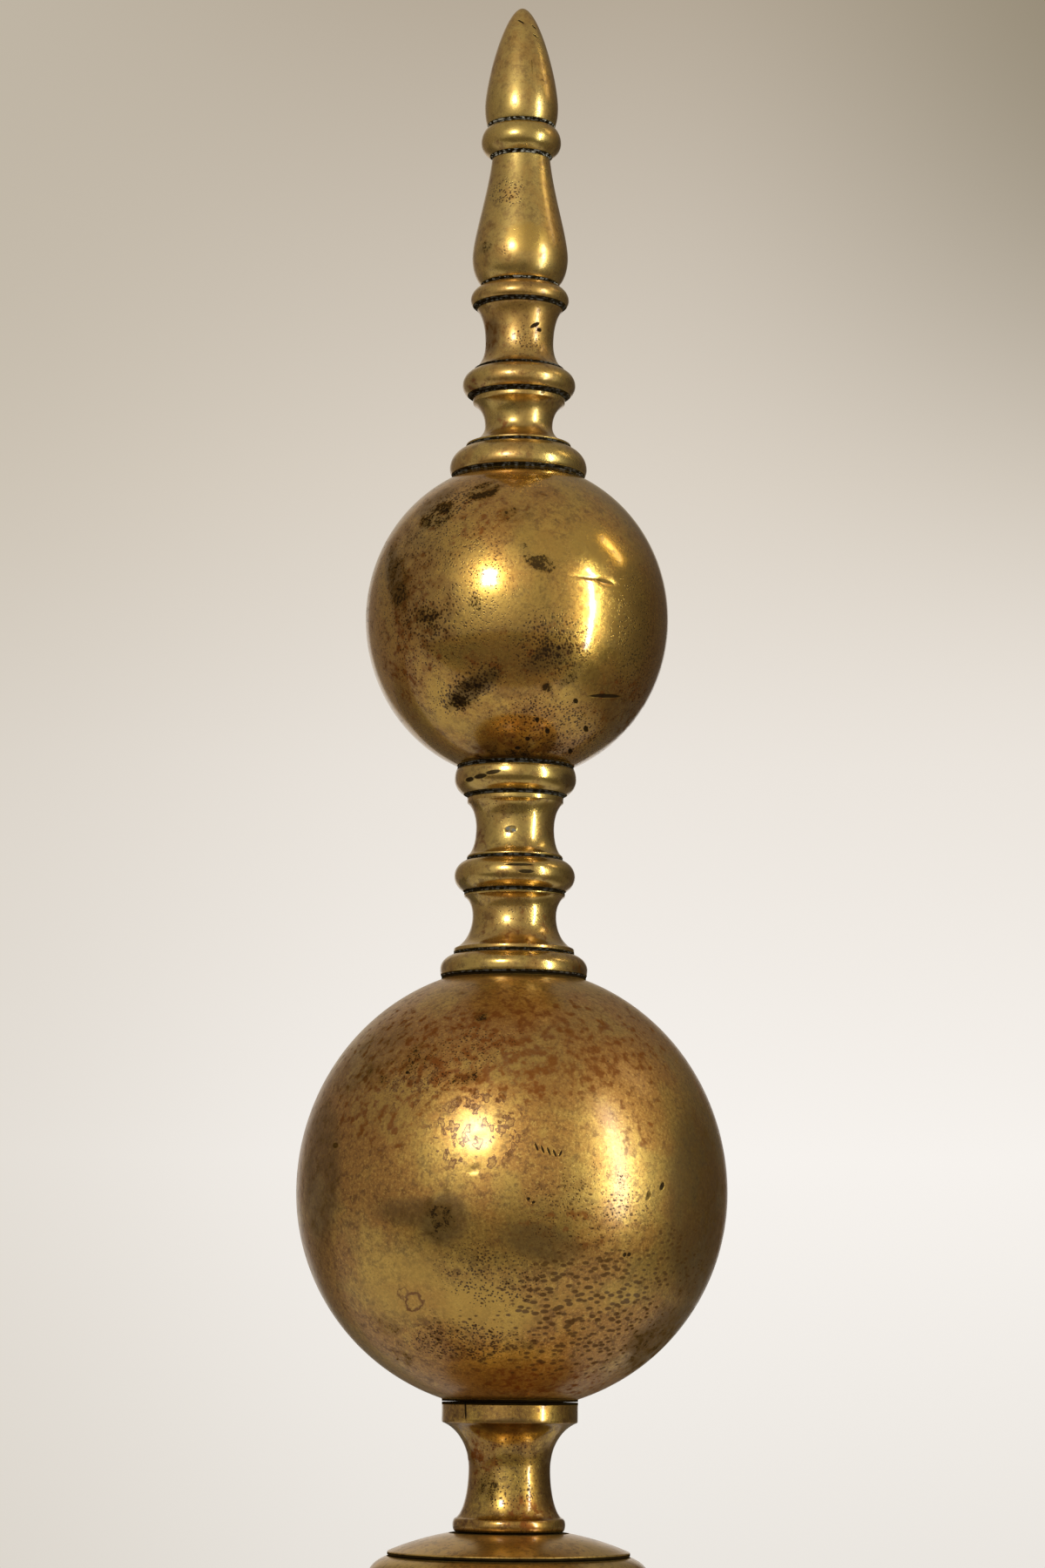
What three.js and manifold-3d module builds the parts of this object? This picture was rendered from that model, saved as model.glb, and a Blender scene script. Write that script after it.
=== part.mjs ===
// An andiron: a turned brass upright on an arched brass base, with a wrought-iron billet bar behind it.
// Millimetres, +Z up. The front of the andiron looks along -Y, and the billet bar runs back along +Y.
// The turned castings are threaded on one iron tie rod, which clamps them to the base and the bar.
import * as THREE from "three";
import { mergeVertices } from "three/addons/utils/BufferGeometryUtils.js";
import Module from "manifold-3d";

// ---------------------------------------------------------------------------------------------
// Driving dimensions
// ---------------------------------------------------------------------------------------------

const FIT_GAP = 0.3; // clearance between any two pieces that seat on or pass through each other
const ROD_RADIUS = 4.75; // tie rod of 3/8 in iron
const ROD_GRIP = 15; // length of rod threaded into the spire
const BALL_WALL = 3; // thickness of the hollow balls
const BALL_PAD = 4; // thickness of a ball's flat seat round the rod
const BALL_LIP = 0.7; // height of the upright lip round a ball's flat seat

// foot and head are the radii at a piece's two seats. girth is its radius at the height called at,
// where its outline stands upright: the widest on a collar, and the narrowest on a spool.
const SPIRE = { height: 42, foot: 11.2, girth: 12.4, at: 6.8, shoulder: 9.2, nose: 5.1 };
const BEAD = { height: 10.2, foot: 9.9, head: 11, girth: 13.5, at: 5 };
const VASE = {
  height: 44.4, foot: 12.6, head: 9.8, girth: 16.1, at: 9.6,
  shoulder: 7, taper: 12, flare: 1.1,
};
const TOP_COLLAR = { height: 7, foot: 15.2, head: 12.6, girth: 16.5, at: 2.3 };
const UPPER_SPOOL = {
  height: 21.6, foot: 15.2, head: 14.6, girth: 11.4, at: 9.3,
  footLip: 0.4, headLip: 0.4,
};
const MIDDLE_COLLAR = { height: 8.6, foot: 16.6, head: 15.4, girth: 18.9, at: 3.8 };
const LOWER_SPOOL = {
  height: 17.6, foot: 17.6, head: 15.4, girth: 11.3, at: 7.7,
  footLip: 1.3, headLip: 2.2,
};
const BASE_COLLAR = { height: 9.3, foot: 21.8, head: 18.2, girth: 22.9, at: 2.6 };

// A ball's rise and drop are its half-heights above and below its middle, before its poles are cut flat.
const UPPER_BALL = { girth: 50.2, rise: 52.6, drop: 53 };

const STEM_TOP_COLLAR = { height: 8.9, foot: 16.4, head: 19.2, girth: 20.1, at: 5.3 };
const STEM_UPPER_SPOOL = {
  height: 21.1, foot: 15.8, head: 15.9, girth: 12.9, at: 10.4,
  footLip: 1.2, headLip: 2.2,
};
const STEM_MIDDLE_COLLAR = { height: 10.3, foot: 16.3, head: 16.3, girth: 19.9, at: 5.2 };
const STEM_LOWER_SPOOL = {
  height: 20.2, foot: 19.8, head: 16.6, girth: 13.8, at: 12.6,
  footLip: 1.8, headLip: 1.2,
};
const STEM_BASE_COLLAR = { height: 7.2, foot: 23.7, head: 20.3, girth: 24.2, at: 2.5 };

const LOWER_BALL = { girth: 70, rise: 73.2, drop: 69.9 };

const NECK = { height: 41, head: 22, band: 6.4, girth: 13.2, at: 20, foot: 17.1, bead: 4.4, swell: 1.1 };
const DOME = { height: 7, crown: 18.6, rim: 39, edge: 1 };
const SOCLE_RING = { height: 9.6, foot: 44.3, head: 38.4, girth: 45.3, at: 2.8 };
const DRUM = { height: 42, head: 40, girth: 33, at: 23, plinth: 49, lip: 2.8, ringGirth: 55, ring: 11 };

// The arched base: a hollow round hub on two cabriole legs that splay forward.
const HUB_DECK_HEIGHT = 128; // top of the hub above the floor
const HUB = { height: 34, head: 49, foot: 44, wall: 6, deck: 6 };
const LEG = { reach: 146, splay: 26, root: 40, width: 30, depth: 31, ankle: 14.5 };
const FOOT = { radius: 19, height: 9 };
const SPUR = { length: 13, radius: 6.5, lean: 34 };

// Wrought iron.
const BAR = { width: 22, height: 22, reach: 432, nose: 16, chamfer: 2 };
const REAR_LEG = { width: 19, depth: 13, inset: 20, kick: 12, foot: 19, footHeight: 6 };
const LOG_STOP = { offset: 104, height: 70, width: 17, depth: 12, knob: 9 };
const TENON_RADIUS = 5.5; // tenons of the rear leg and the log stop, riveted through the bar
const RIVET = { radius: 9, height: 3.4 };
const WASHER = { radius: 13, height: 2.2 };
const NUT = { width: 18, height: 9, chamfer: 1.5 };
const ROD_TAIL = 5; // length of rod that stands out below its nut

// How far the outline of a collar or a spool turns between its girth and its seats, in degrees.
const COLLAR_TURN = 65;
const SPOOL_TURN = 75;

// Facets round a turned piece.
const SMALL_FACETS = 20;
const LARGE_FACETS = 32;
const ROD_FACETS = 12;

const LIMB_RINGS = 13; // cross-sections along a leg
const LIMB_FACETS = 12; // facets round a leg
const OVERLAP = 1; // how far a cut runs past a face, and how far one joined solid runs into the next

// ---------------------------------------------------------------------------------------------
// Materials
// ---------------------------------------------------------------------------------------------

const agedBrass = () => new THREE.MeshStandardMaterial({ color: 0x9c7a3c, metalness: 1, roughness: 0.36 });
const wroughtIron = () => new THREE.MeshStandardMaterial({ color: 0x2b2826, metalness: 0.8, roughness: 0.72 });

// ---------------------------------------------------------------------------------------------
// Shape helpers
// ---------------------------------------------------------------------------------------------

const wasm = await Module();
wasm.setup();

const BORE = ROD_RADIUS + FIT_GAP;

/** Points [r, z] on an ellipse arc about (r, z), from one angle to another in degrees. */
function arc(r, z, radiusR, radiusZ, fromDeg, toDeg, steps) {
  return Array.from({ length: steps + 1 }, (_, i) => {
    const angle = THREE.MathUtils.degToRad(fromDeg + ((toDeg - fromDeg) * i) / steps);
    return [r + radiusR * Math.cos(angle), z + radiusZ * Math.sin(angle)];
  });
}

/** Points [r, z] on an arc that stands upright at its start and has turned by some degrees at its end. */
function sweep([startR, startZ], [endR, endZ], turn, steps) {
  const angle = THREE.MathUtils.degToRad(turn);
  const radiusR = (startR - endR) / (1 - Math.cos(angle));
  const radiusZ = (endZ - startZ) / Math.sin(angle);
  return arc(startR - radiusR, startZ, radiusR, radiusZ, 0, turn, steps);
}

/** Points [r, z] on a cubic Bezier curve through four control points. */
function bezier(controls, steps) {
  const curve = new THREE.CubicBezierCurve(...controls.map(([r, z]) => new THREE.Vector2(r, z)));
  return curve.getPoints(steps).map((p) => [p.x, p.y]);
}

/** A solid of revolution about Z. The outline runs anticlockwise in (r, z) and closes on itself. */
function revolve(outline, facets) {
  const kept = outline.filter(([r, z], i) => {
    const [lastR, lastZ] = outline[(i + outline.length - 1) % outline.length];
    return Math.hypot(r - lastR, z - lastZ) > 1e-3;
  });
  const points = [...kept, kept[0]].map(([r, z]) => new THREE.Vector2(r, z));
  return new THREE.LatheGeometry(points, facets).rotateX(Math.PI / 2);
}

/** A turned piece with the tie rod's bore: the outer outline runs from its foot to its head. */
function bored(outer, facets, height) {
  return revolve([[BORE, 0], ...outer, [BORE, height]], facets);
}

/** A skin through rings of points, closed with a flat cap at each end. */
function loft(rings) {
  const count = rings[0].length;
  const positions = rings.flat().flatMap((p) => [p.x, p.y, p.z]);
  const index = [];
  for (let ring = 0; ring < rings.length - 1; ring++) {
    for (let i = 0; i < count; i++) {
      const a = ring * count + i;
      const b = ring * count + ((i + 1) % count);
      index.push(a, b, a + count, b, b + count, a + count);
    }
  }
  const last = (rings.length - 1) * count;
  for (let i = 1; i < count - 1; i++) {
    index.push(0, i + 1, i, last, last + i, last + i + 1);
  }
  const geometry = new THREE.BufferGeometry();
  geometry.setAttribute("position", new THREE.Float32BufferAttribute(positions, 3));
  return geometry.setIndex(index);
}

/** A geometry as a manifold solid. */
function solid(geometry) {
  const bare = geometry.clone();
  bare.deleteAttribute("normal");
  bare.deleteAttribute("uv");
  const merged = mergeVertices(bare, 1e-3);
  const mesh = new wasm.Mesh({
    numProp: 3,
    vertProperties: new Float32Array(merged.attributes.position.array),
    triVerts: new Uint32Array(merged.index.array),
  });
  return new wasm.Manifold(mesh);
}

/** A manifold solid as a geometry. */
function geometryOf(manifold) {
  const mesh = manifold.getMesh();
  const geometry = new THREE.BufferGeometry();
  geometry.setAttribute("position", new THREE.Float32BufferAttribute(mesh.vertProperties, 3));
  geometry.setIndex(new THREE.Uint32BufferAttribute(mesh.triVerts, 1));
  geometry.computeVertexNormals();
  return geometry;
}

const andiron = new THREE.Group();

/** Adds one named piece to the andiron, at a height above the floor. */
function add(name, geometry, material, height = 0) {
  const mesh = new THREE.Mesh(geometry, material());
  mesh.name = name;
  mesh.position.z = height;
  andiron.add(mesh);
}

// ---------------------------------------------------------------------------------------------
// Turned brass pieces. Each has its foot at z = 0.
// ---------------------------------------------------------------------------------------------

/** The pointed spire: a round-shouldered cone with a blind hole for the rod's thread. */
function spire({ height, foot, girth, at, shoulder, nose }) {
  const underside = sweep([girth, at], [foot, 0], COLLAR_TURN, 3).reverse();
  const side = bezier([[girth, at], [girth, at + shoulder], [nose, height], [0, height]], 9);
  const holeDepth = ROD_GRIP + FIT_GAP;
  return revolve([[0, holeDepth], [BORE, holeDepth], [BORE, 0], ...underside, ...side], SMALL_FACETS);
}

/** A convex ring that swells from its foot to its girth and closes in again to its head. */
function collar({ height, foot, head, girth, at }, facets = SMALL_FACETS) {
  const lower = sweep([girth, at], [foot, 0], COLLAR_TURN, 3).reverse();
  const upper = sweep([girth, at], [head, height], COLLAR_TURN, 3);
  return bored([...lower, ...upper], facets, height);
}

/** The vase: a round belly that tapers to a slim head. */
function vase({ height, foot, head, girth, at, shoulder, taper, flare }) {
  const lower = sweep([girth, at], [foot, 0], COLLAR_TURN, 4).reverse();
  const side = [[girth, at], [girth, at + shoulder], [head + flare, height - taper], [head, height]];
  return bored([...lower, ...bezier(side, 7)], SMALL_FACETS, height);
}

/** A concave neck that flares to a thin lip at its foot and at its head. */
function spool({ height, foot, head, girth, at, footLip, headLip }) {
  const lower = sweep([girth, at], [foot, footLip], SPOOL_TURN, 4).reverse();
  const upper = sweep([girth, at], [head, height - headLip], SPOOL_TURN, 4);
  return bored([[foot, 0], ...lower, ...upper, [head, height]], SMALL_FACETS, height);
}

/** Points [r, z] on half a hollow ball: out from its middle to its flat seat, and back inside. */
function halfBall(girth, half, seat) {
  const pole = half * Math.sqrt(1 - (seat / girth) ** 2);
  const innerGirth = girth - BALL_WALL;
  const innerHalf = half - BALL_WALL;
  const innerPole = pole + BALL_LIP - BALL_PAD;
  const turn = THREE.MathUtils.radToDeg(Math.asin(pole / half));
  const innerTurn = THREE.MathUtils.radToDeg(Math.asin(innerPole / innerHalf));
  return [
    ...arc(0, 0, girth, half, 0, turn, 7),
    [seat, pole + BALL_LIP],
    [BORE, pole + BALL_LIP],
    [BORE, innerPole],
    ...arc(0, 0, innerGirth, innerHalf, innerTurn, 0, 4),
  ];
}

/** A hollow ball and its height, cut flat where the pieces below and above seat on it. */
function hollowBall({ girth, rise, drop }, footSeat, headSeat) {
  const upper = halfBall(girth, rise, headSeat);
  const lower = halfBall(girth, drop, footSeat).map(([r, z]) => [r, -z]);
  const levels = [...upper, ...lower].map(([, z]) => z);
  const foot = Math.min(...levels);
  const height = Math.max(...levels) - foot;
  const outline = [...upper, ...lower.reverse()].map(([r, z]) => [r, z - foot]);
  return { geometry: revolve(outline, LARGE_FACETS), height };
}

/** The neck under the lower ball: a flat band over a long cove, which ends in a round bead. */
function neckPiece({ height, head, band, girth, at, foot, bead, swell }) {
  const lower = sweep([girth, at], [foot, bead], SPOOL_TURN, 5).reverse();
  const upper = sweep([girth, at], [head, height - band], SPOOL_TURN, 5);
  const outer = [...arc(foot, bead / 2, swell, bead / 2, -90, 90, 4), ...lower, ...upper, [head, height]];
  return bored(outer, SMALL_FACETS, height);
}

/** The shallow domed plate under the neck, with a thin upright edge. */
function dome({ height, crown, rim, edge }) {
  const width = rim - crown;
  const rise = height - edge;
  const side = [
    [rim, edge],
    [rim - width * 0.22, edge + rise * 0.33],
    [crown + width * 0.41, edge + rise * 0.77],
    [crown, height],
  ];
  return bored([[rim, 0], ...bezier(side, 5)], LARGE_FACETS, height);
}

/** The drum under the socle: a deep cove over a bold half-round ring. */
function drum({ height, head, girth, at, plinth, lip, ringGirth, ring }) {
  const outer = [
    ...arc(plinth, ring / 2, ringGirth - plinth, ring / 2, -90, 90, 6),
    ...sweep([girth, at], [plinth, ring + lip], SPOOL_TURN, 4).reverse(),
    ...sweep([girth, at], [head, height - lip], SPOOL_TURN, 4),
    [head, height],
  ];
  return bored(outer, LARGE_FACETS, height);
}

// ---------------------------------------------------------------------------------------------
// Arched base
// ---------------------------------------------------------------------------------------------

const DECK_UNDERSIDE = HUB_DECK_HEIGHT - HUB.deck;
const BAR_TOP = DECK_UNDERSIDE - FIT_GAP;
const BAR_UNDERSIDE = BAR_TOP - BAR.height;
const HUB_HOLLOW = HUB.foot - HUB.wall;

/** The round hub: a deck that the stack stands on, over a bell-shaped skirt. */
function hub() {
  const skirtFoot = HUB_DECK_HEIGHT - HUB.height;
  const bell = arc(HUB.foot, DECK_UNDERSIDE, HUB.head - HUB.foot, HUB.height / 2, -90, 0, 4);
  const deck = [[HUB.head, HUB_DECK_HEIGHT], [0, HUB_DECK_HEIGHT]];
  const outline = [[0, skirtFoot], [HUB.foot, skirtFoot], ...bell, ...deck];
  return solid(revolve(outline, LARGE_FACETS));
}

/** Centreline of a leg in its own upright plane, from inside the hub's wall to the foot. */
function legCurve() {
  const rootHeight = DECK_UNDERSIDE - LEG.depth / 2;
  const stations = [
    [LEG.root, rootHeight],
    [LEG.reach * 0.42, rootHeight + 4],
    [LEG.reach * 0.62, rootHeight * 0.86],
    [LEG.reach * 0.75, rootHeight * 0.55],
    [LEG.reach * 0.83, rootHeight * 0.27],
    [LEG.reach * 0.96, FOOT.height * 0.8],
  ];
  const points = stations.map(([out, up]) => new THREE.Vector3(out, 0, up));
  return new THREE.CatmullRomCurve3(points, false, "centripetal");
}

/** A round ring of points across a curve in the XZ plane, of the given width and depth. */
function section(curve, t, width, depth, count) {
  const centre = curve.getPoint(t);
  const tangent = curve.getTangent(t);
  const across = new THREE.Vector3(0, 1, 0);
  const normal = new THREE.Vector3(-tangent.z, 0, tangent.x);
  return Array.from({ length: count }, (_, i) => {
    const angle = (2 * Math.PI * (i + 0.5)) / count;
    return centre
      .clone()
      .addScaledVector(across, (width / 2) * Math.cos(angle))
      .addScaledVector(normal, (depth / 2) * Math.sin(angle));
  });
}

/** The tapering limb of a leg along its centreline. */
function limb(curve) {
  const rings = Array.from({ length: LIMB_RINGS }, (_, i) => {
    const t = i / (LIMB_RINGS - 1);
    const taper = THREE.MathUtils.smoothstep(t, 0.2, 0.9);
    const width = THREE.MathUtils.lerp(LEG.width, LEG.ankle, taper);
    const depth = THREE.MathUtils.lerp(LEG.depth, LEG.ankle, taper);
    return section(curve, t, width, depth, LIMB_FACETS);
  });
  return solid(loft(rings));
}

/** The round pad foot at the end of a leg. */
function padFoot() {
  const { radius, height } = FOOT;
  const outline = [
    [0, 0],
    [radius * 0.88, 0],
    ...arc(radius * 0.8, height * 0.4, radius * 0.2, height * 0.34, -60, 90, 4),
    ...arc(radius * 0.46, height * 0.74, radius * 0.28, height * 0.26, 0, 90, 2),
    [0, height],
  ];
  return solid(revolve(outline, 20)).translate([LEG.reach, 0, 0]);
}

/** The pointed spur on the underside of a leg, below the knee. */
function spur(curve) {
  const start = curve.getPoint(0.44);
  const lean = THREE.MathUtils.degToRad(SPUR.lean);
  const length = LEG.depth / 2 + SPUR.length;
  const tip = start.clone().add(new THREE.Vector3(-length * Math.sin(lean), 0, -length * Math.cos(lean)));
  const line = new THREE.LineCurve3(start, tip);
  const rings = [1, 0.86, 0.52, 0.14].map((share, i) => {
    return section(line, i / 3, 2 * SPUR.radius * share, 2 * SPUR.radius * share, 8);
  });
  return solid(loft(rings));
}

/** The whole base casting: hub, legs, feet and spurs, hollow underneath, with a notch for the billet bar. */
function archedBase() {
  const curve = legCurve();
  const leg = limb(curve).add(padFoot()).add(spur(curve));
  const casting = hub()
    .add(leg.rotate([0, 0, -LEG.splay]))
    .add(leg.rotate([0, 0, LEG.splay - 180]));
  const cavity = [[0, 0], [HUB_HOLLOW, 0], [HUB_HOLLOW, DECK_UNDERSIDE], [0, DECK_UNDERSIDE]];
  const hollow = revolve(cavity, LARGE_FACETS);
  const boreTop = HUB_DECK_HEIGHT + OVERLAP;
  const boreHole = revolve([[0, 0], [BORE, 0], [BORE, boreTop], [0, boreTop]], ROD_FACETS);
  const notch = new THREE.BoxGeometry(BAR.width + 2 * FIT_GAP, 2 * HUB.head, DECK_UNDERSIDE);
  notch.translate(0, HUB.head, DECK_UNDERSIDE / 2);
  return geometryOf(casting.subtract(solid(hollow)).subtract(solid(boreHole)).subtract(solid(notch)));
}

// ---------------------------------------------------------------------------------------------
// Wrought iron
// ---------------------------------------------------------------------------------------------

/** A rectangle with its corners cut off. */
function chamferedRectangle(width, height, cut) {
  const x = width / 2;
  const y = height / 2;
  const lower = [[-x, -y + cut], [-x + cut, -y], [x - cut, -y], [x, -y + cut]];
  const upper = [[x, y - cut], [x - cut, y], [-x + cut, y], [-x, y - cut]];
  return new THREE.Shape([...lower, ...upper].map(([u, v]) => new THREE.Vector2(u, v)));
}

/** An upright cylinder from one height to another, a distance along the bar. */
function upright(radius, low, high, along, facets = 16) {
  const cylinder = new THREE.CylinderGeometry(radius, radius, high - low, facets);
  return cylinder.rotateX(Math.PI / 2).translate(0, along, (low + high) / 2);
}

const REAR_LEG_OFFSET = BAR.reach - REAR_LEG.inset;

/** The square billet bar, with holes for the tie rod and for the two riveted tenons. */
function billetBar() {
  const profile = chamferedRectangle(BAR.width, BAR.height, BAR.chamfer);
  const bar = new THREE.ExtrudeGeometry(profile, { depth: BAR.nose + BAR.reach, bevelEnabled: false })
    .rotateX(Math.PI / 2)
    .translate(0, BAR.reach, (BAR_TOP + BAR_UNDERSIDE) / 2);
  const drill = (radius, along) => solid(upright(radius, BAR_UNDERSIDE - OVERLAP, BAR_TOP + OVERLAP, along));
  return geometryOf(
    solid(bar)
      .subtract(drill(BORE, 0))
      .subtract(drill(TENON_RADIUS + FIT_GAP, LOG_STOP.offset))
      .subtract(drill(TENON_RADIUS + FIT_GAP, REAR_LEG_OFFSET)),
  );
}

/** A rivet's round head at a height, a distance along the bar. */
function rivetHead(along, height) {
  const crown = arc(0, 0, RIVET.radius, RIVET.height, 0, 90, 3);
  return solid(revolve([[0, 0], ...crown], 16)).translate([0, along, height]);
}

/** Four points across an upright post at a height, centred a distance along the bar. */
function postRing(width, depth, along, height) {
  const corners = [[-1, -1], [1, -1], [1, 1], [-1, 1]];
  return corners.map(([u, v]) => new THREE.Vector3((u * width) / 2, along + (v * depth) / 2, height));
}

/** The rear leg: a flat post that kicks back to a round foot, with a tenon riveted over the bar. */
function rearLeg() {
  const { width, depth, kick, foot, footHeight } = REAR_LEG;
  const shoulder = BAR_UNDERSIDE - FIT_GAP;
  const stations = [
    [footHeight / 2, 0.8, 1, 1],
    [shoulder * 0.22, 0.8, 0.85, 0.55],
    [shoulder * 0.45, 0.86, 0.9, 0.15],
    [shoulder * 0.75, 1, 1, 0],
    [shoulder, 1, 1.15, 0],
  ];
  const rings = stations.map(([height, widthShare, depthShare, kickShare]) => {
    return postRing(width * widthShare, depth * depthShare, REAR_LEG_OFFSET + kick * kickShare, height);
  });
  const riveted = BAR_TOP + FIT_GAP;
  const tenon = solid(upright(TENON_RADIUS, shoulder - OVERLAP, riveted + OVERLAP, REAR_LEG_OFFSET));
  const pad = solid(upright(foot, 0, footHeight, REAR_LEG_OFFSET + kick, 20));
  return geometryOf(solid(loft(rings)).add(tenon).add(pad).add(rivetHead(REAR_LEG_OFFSET, riveted)));
}

/** The log stop: a tapered post with a small knob, and a tenon riveted under the bar. */
function logStop() {
  const { offset, height, width, depth, knob } = LOG_STOP;
  const seat = BAR_TOP + FIT_GAP;
  const knobHeight = seat + height - knob;
  const rings = [
    postRing(width, depth, offset, seat),
    postRing(width, depth, offset, seat + height * 0.12),
    postRing(width * 0.62, depth * 0.75, offset, knobHeight),
  ];
  const ball = solid(new THREE.IcosahedronGeometry(knob, 1)).translate([0, offset, knobHeight]);
  const riveted = BAR_UNDERSIDE - FIT_GAP;
  const tenon = solid(upright(TENON_RADIUS, riveted - OVERLAP, seat + OVERLAP, offset));
  const head = rivetHead(-offset, -riveted).rotate([180, 0, 0]);
  return geometryOf(solid(loft(rings)).add(ball).add(tenon).add(head));
}

/** A flat round washer with the rod's bore. */
function washer({ radius, height }) {
  return bored([[radius, 0], [radius, height]], SMALL_FACETS, height);
}

/** A square nut with the rod's bore. */
function squareNut({ width, height, chamfer }) {
  const shape = chamferedRectangle(width, width, chamfer);
  shape.holes.push(new THREE.Path().absarc(0, 0, BORE, 0, 2 * Math.PI, true));
  return new THREE.ExtrudeGeometry(shape, { depth: height, bevelEnabled: false, curveSegments: 6 });
}

// ---------------------------------------------------------------------------------------------
// Assembly
// ---------------------------------------------------------------------------------------------

add("arched_base", archedBase(), agedBrass);
add("billet_bar", billetBar(), wroughtIron);
add("rear_leg", rearLeg(), wroughtIron);
add("log_stop", logStop(), wroughtIron);

const lowerBall = hollowBall(LOWER_BALL, NECK.head, STEM_BASE_COLLAR.foot);
const upperBall = hollowBall(UPPER_BALL, STEM_TOP_COLLAR.head, BASE_COLLAR.foot);

// The stack of turned pieces, from the hub's deck up. Each seats on the one before it.
const stack = [
  ["socle_drum", drum(DRUM), DRUM.height],
  ["socle_ring", collar(SOCLE_RING, LARGE_FACETS), SOCLE_RING.height],
  ["socle_dome", dome(DOME), DOME.height],
  ["neck", neckPiece(NECK), NECK.height],
  ["lower_ball", lowerBall.geometry, lowerBall.height],
  ["stem_base_collar", collar(STEM_BASE_COLLAR), STEM_BASE_COLLAR.height],
  ["stem_lower_spool", spool(STEM_LOWER_SPOOL), STEM_LOWER_SPOOL.height],
  ["stem_middle_collar", collar(STEM_MIDDLE_COLLAR), STEM_MIDDLE_COLLAR.height],
  ["stem_upper_spool", spool(STEM_UPPER_SPOOL), STEM_UPPER_SPOOL.height],
  ["stem_top_collar", collar(STEM_TOP_COLLAR), STEM_TOP_COLLAR.height],
  ["upper_ball", upperBall.geometry, upperBall.height],
  ["finial_base_collar", collar(BASE_COLLAR), BASE_COLLAR.height],
  ["finial_lower_spool", spool(LOWER_SPOOL), LOWER_SPOOL.height],
  ["finial_middle_collar", collar(MIDDLE_COLLAR), MIDDLE_COLLAR.height],
  ["finial_upper_spool", spool(UPPER_SPOOL), UPPER_SPOOL.height],
  ["finial_top_collar", collar(TOP_COLLAR), TOP_COLLAR.height],
  ["finial_vase", vase(VASE), VASE.height],
  ["finial_bead", collar(BEAD), BEAD.height],
  ["finial_spire", spire(SPIRE), SPIRE.height],
];
let seat = HUB_DECK_HEIGHT;
let spireSeat = seat;
for (const [name, geometry, height] of stack) {
  spireSeat = seat + FIT_GAP;
  add(name, geometry, agedBrass, spireSeat);
  seat = spireSeat + height;
}

// The tie rod runs from below its nut, under the bar, to inside the spire.
const washerSeat = BAR_UNDERSIDE - FIT_GAP - WASHER.height;
const nutSeat = washerSeat - FIT_GAP - NUT.height;
add("tie_rod", upright(ROD_RADIUS, nutSeat - ROD_TAIL, spireSeat + ROD_GRIP, 0, ROD_FACETS), wroughtIron);
add("tie_rod_washer", washer(WASHER), wroughtIron, washerSeat);
add("tie_rod_nut", squareNut(NUT), wroughtIron, nutSeat);

// The origin is on the floor at the middle of the andiron's outline seen from above.
const outline = new THREE.Box3().setFromObject(andiron);
andiron.position.y = -(outline.min.y + outline.max.y) / 2;

export default andiron;
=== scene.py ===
"""A brass ball-and-spire andiron with its wrought-iron bar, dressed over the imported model."""

import logging
import math
from collections.abc import Callable, Iterable, Sequence
from dataclasses import dataclass
from enum import Enum
from typing import Any

import bmesh
import bpy
import numpy as np
from mathutils import Matrix, Vector, noise


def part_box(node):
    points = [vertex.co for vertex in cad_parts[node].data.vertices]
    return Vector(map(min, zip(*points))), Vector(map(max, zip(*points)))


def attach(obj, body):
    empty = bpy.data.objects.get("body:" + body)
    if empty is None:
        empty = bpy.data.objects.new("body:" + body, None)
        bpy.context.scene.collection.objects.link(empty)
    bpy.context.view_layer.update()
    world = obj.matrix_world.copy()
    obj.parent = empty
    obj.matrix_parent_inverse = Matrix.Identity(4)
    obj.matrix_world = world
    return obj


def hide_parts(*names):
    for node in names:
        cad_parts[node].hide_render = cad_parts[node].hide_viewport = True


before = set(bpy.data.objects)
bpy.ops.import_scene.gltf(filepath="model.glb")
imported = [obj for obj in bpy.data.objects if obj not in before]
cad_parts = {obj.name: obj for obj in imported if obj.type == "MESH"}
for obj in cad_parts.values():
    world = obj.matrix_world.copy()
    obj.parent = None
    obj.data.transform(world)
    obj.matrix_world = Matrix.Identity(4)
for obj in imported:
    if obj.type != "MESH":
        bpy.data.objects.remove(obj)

LOG = logging.getLogger("andiron")

MM = 0.001
BODY = "root"

FIT_GAP = 0.3  # clearance of a bore round the tie rod
ROD_RADIUS = 4.75
BORE = ROD_RADIUS + FIT_GAP
SOIL_REACH = 0.85  # how far dirt creeps out of a seam
SHARP_EDGE = math.radians(38)
FORGED_EDGE = math.radians(50)  # the same for hammered iron
BLUNT_CORNER = math.radians(152)  # a corner of an outline that is blunter than this isn't eased
SWELL_TURN = 65.0  # how far a convex outline turns on each side of its girth, in degrees
COVE_TURN = 75.0  # the same for a concave one
NEAR_AXIS = 0.05  # the radius at which the outline of a solid meets the axis
SPIRE_BORE = 15  # how deep the rod goes into the spire
FACETS = 96  # of a small turned piece
NECKING = ("top_collar", "upper_spool", "middle_collar", "lower_spool", "base_collar")

Point = tuple[float, float]
Colour = tuple[float, float, float]


class Slot(Enum):
    """The record's material slots."""

    BRASS = "aged_brass"
    IRON = "wrought_iron"


# ---- Nodes ----


def _operator(operation: str, reverse: bool = False) -> Callable[["Value", "Value | float"], "Value"]:
    """A method of Value that adds one Math node on it and another operand.

    Args:
        operation: the node's operation.
        reverse: whether the other operand comes first.

    Returns:
        The method.
    """

    def apply(value: "Value", other: "Value | float") -> "Value":
        """The node's output."""
        return value._math(operation, *((other, value) if reverse else (value, other)))

    return apply


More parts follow.
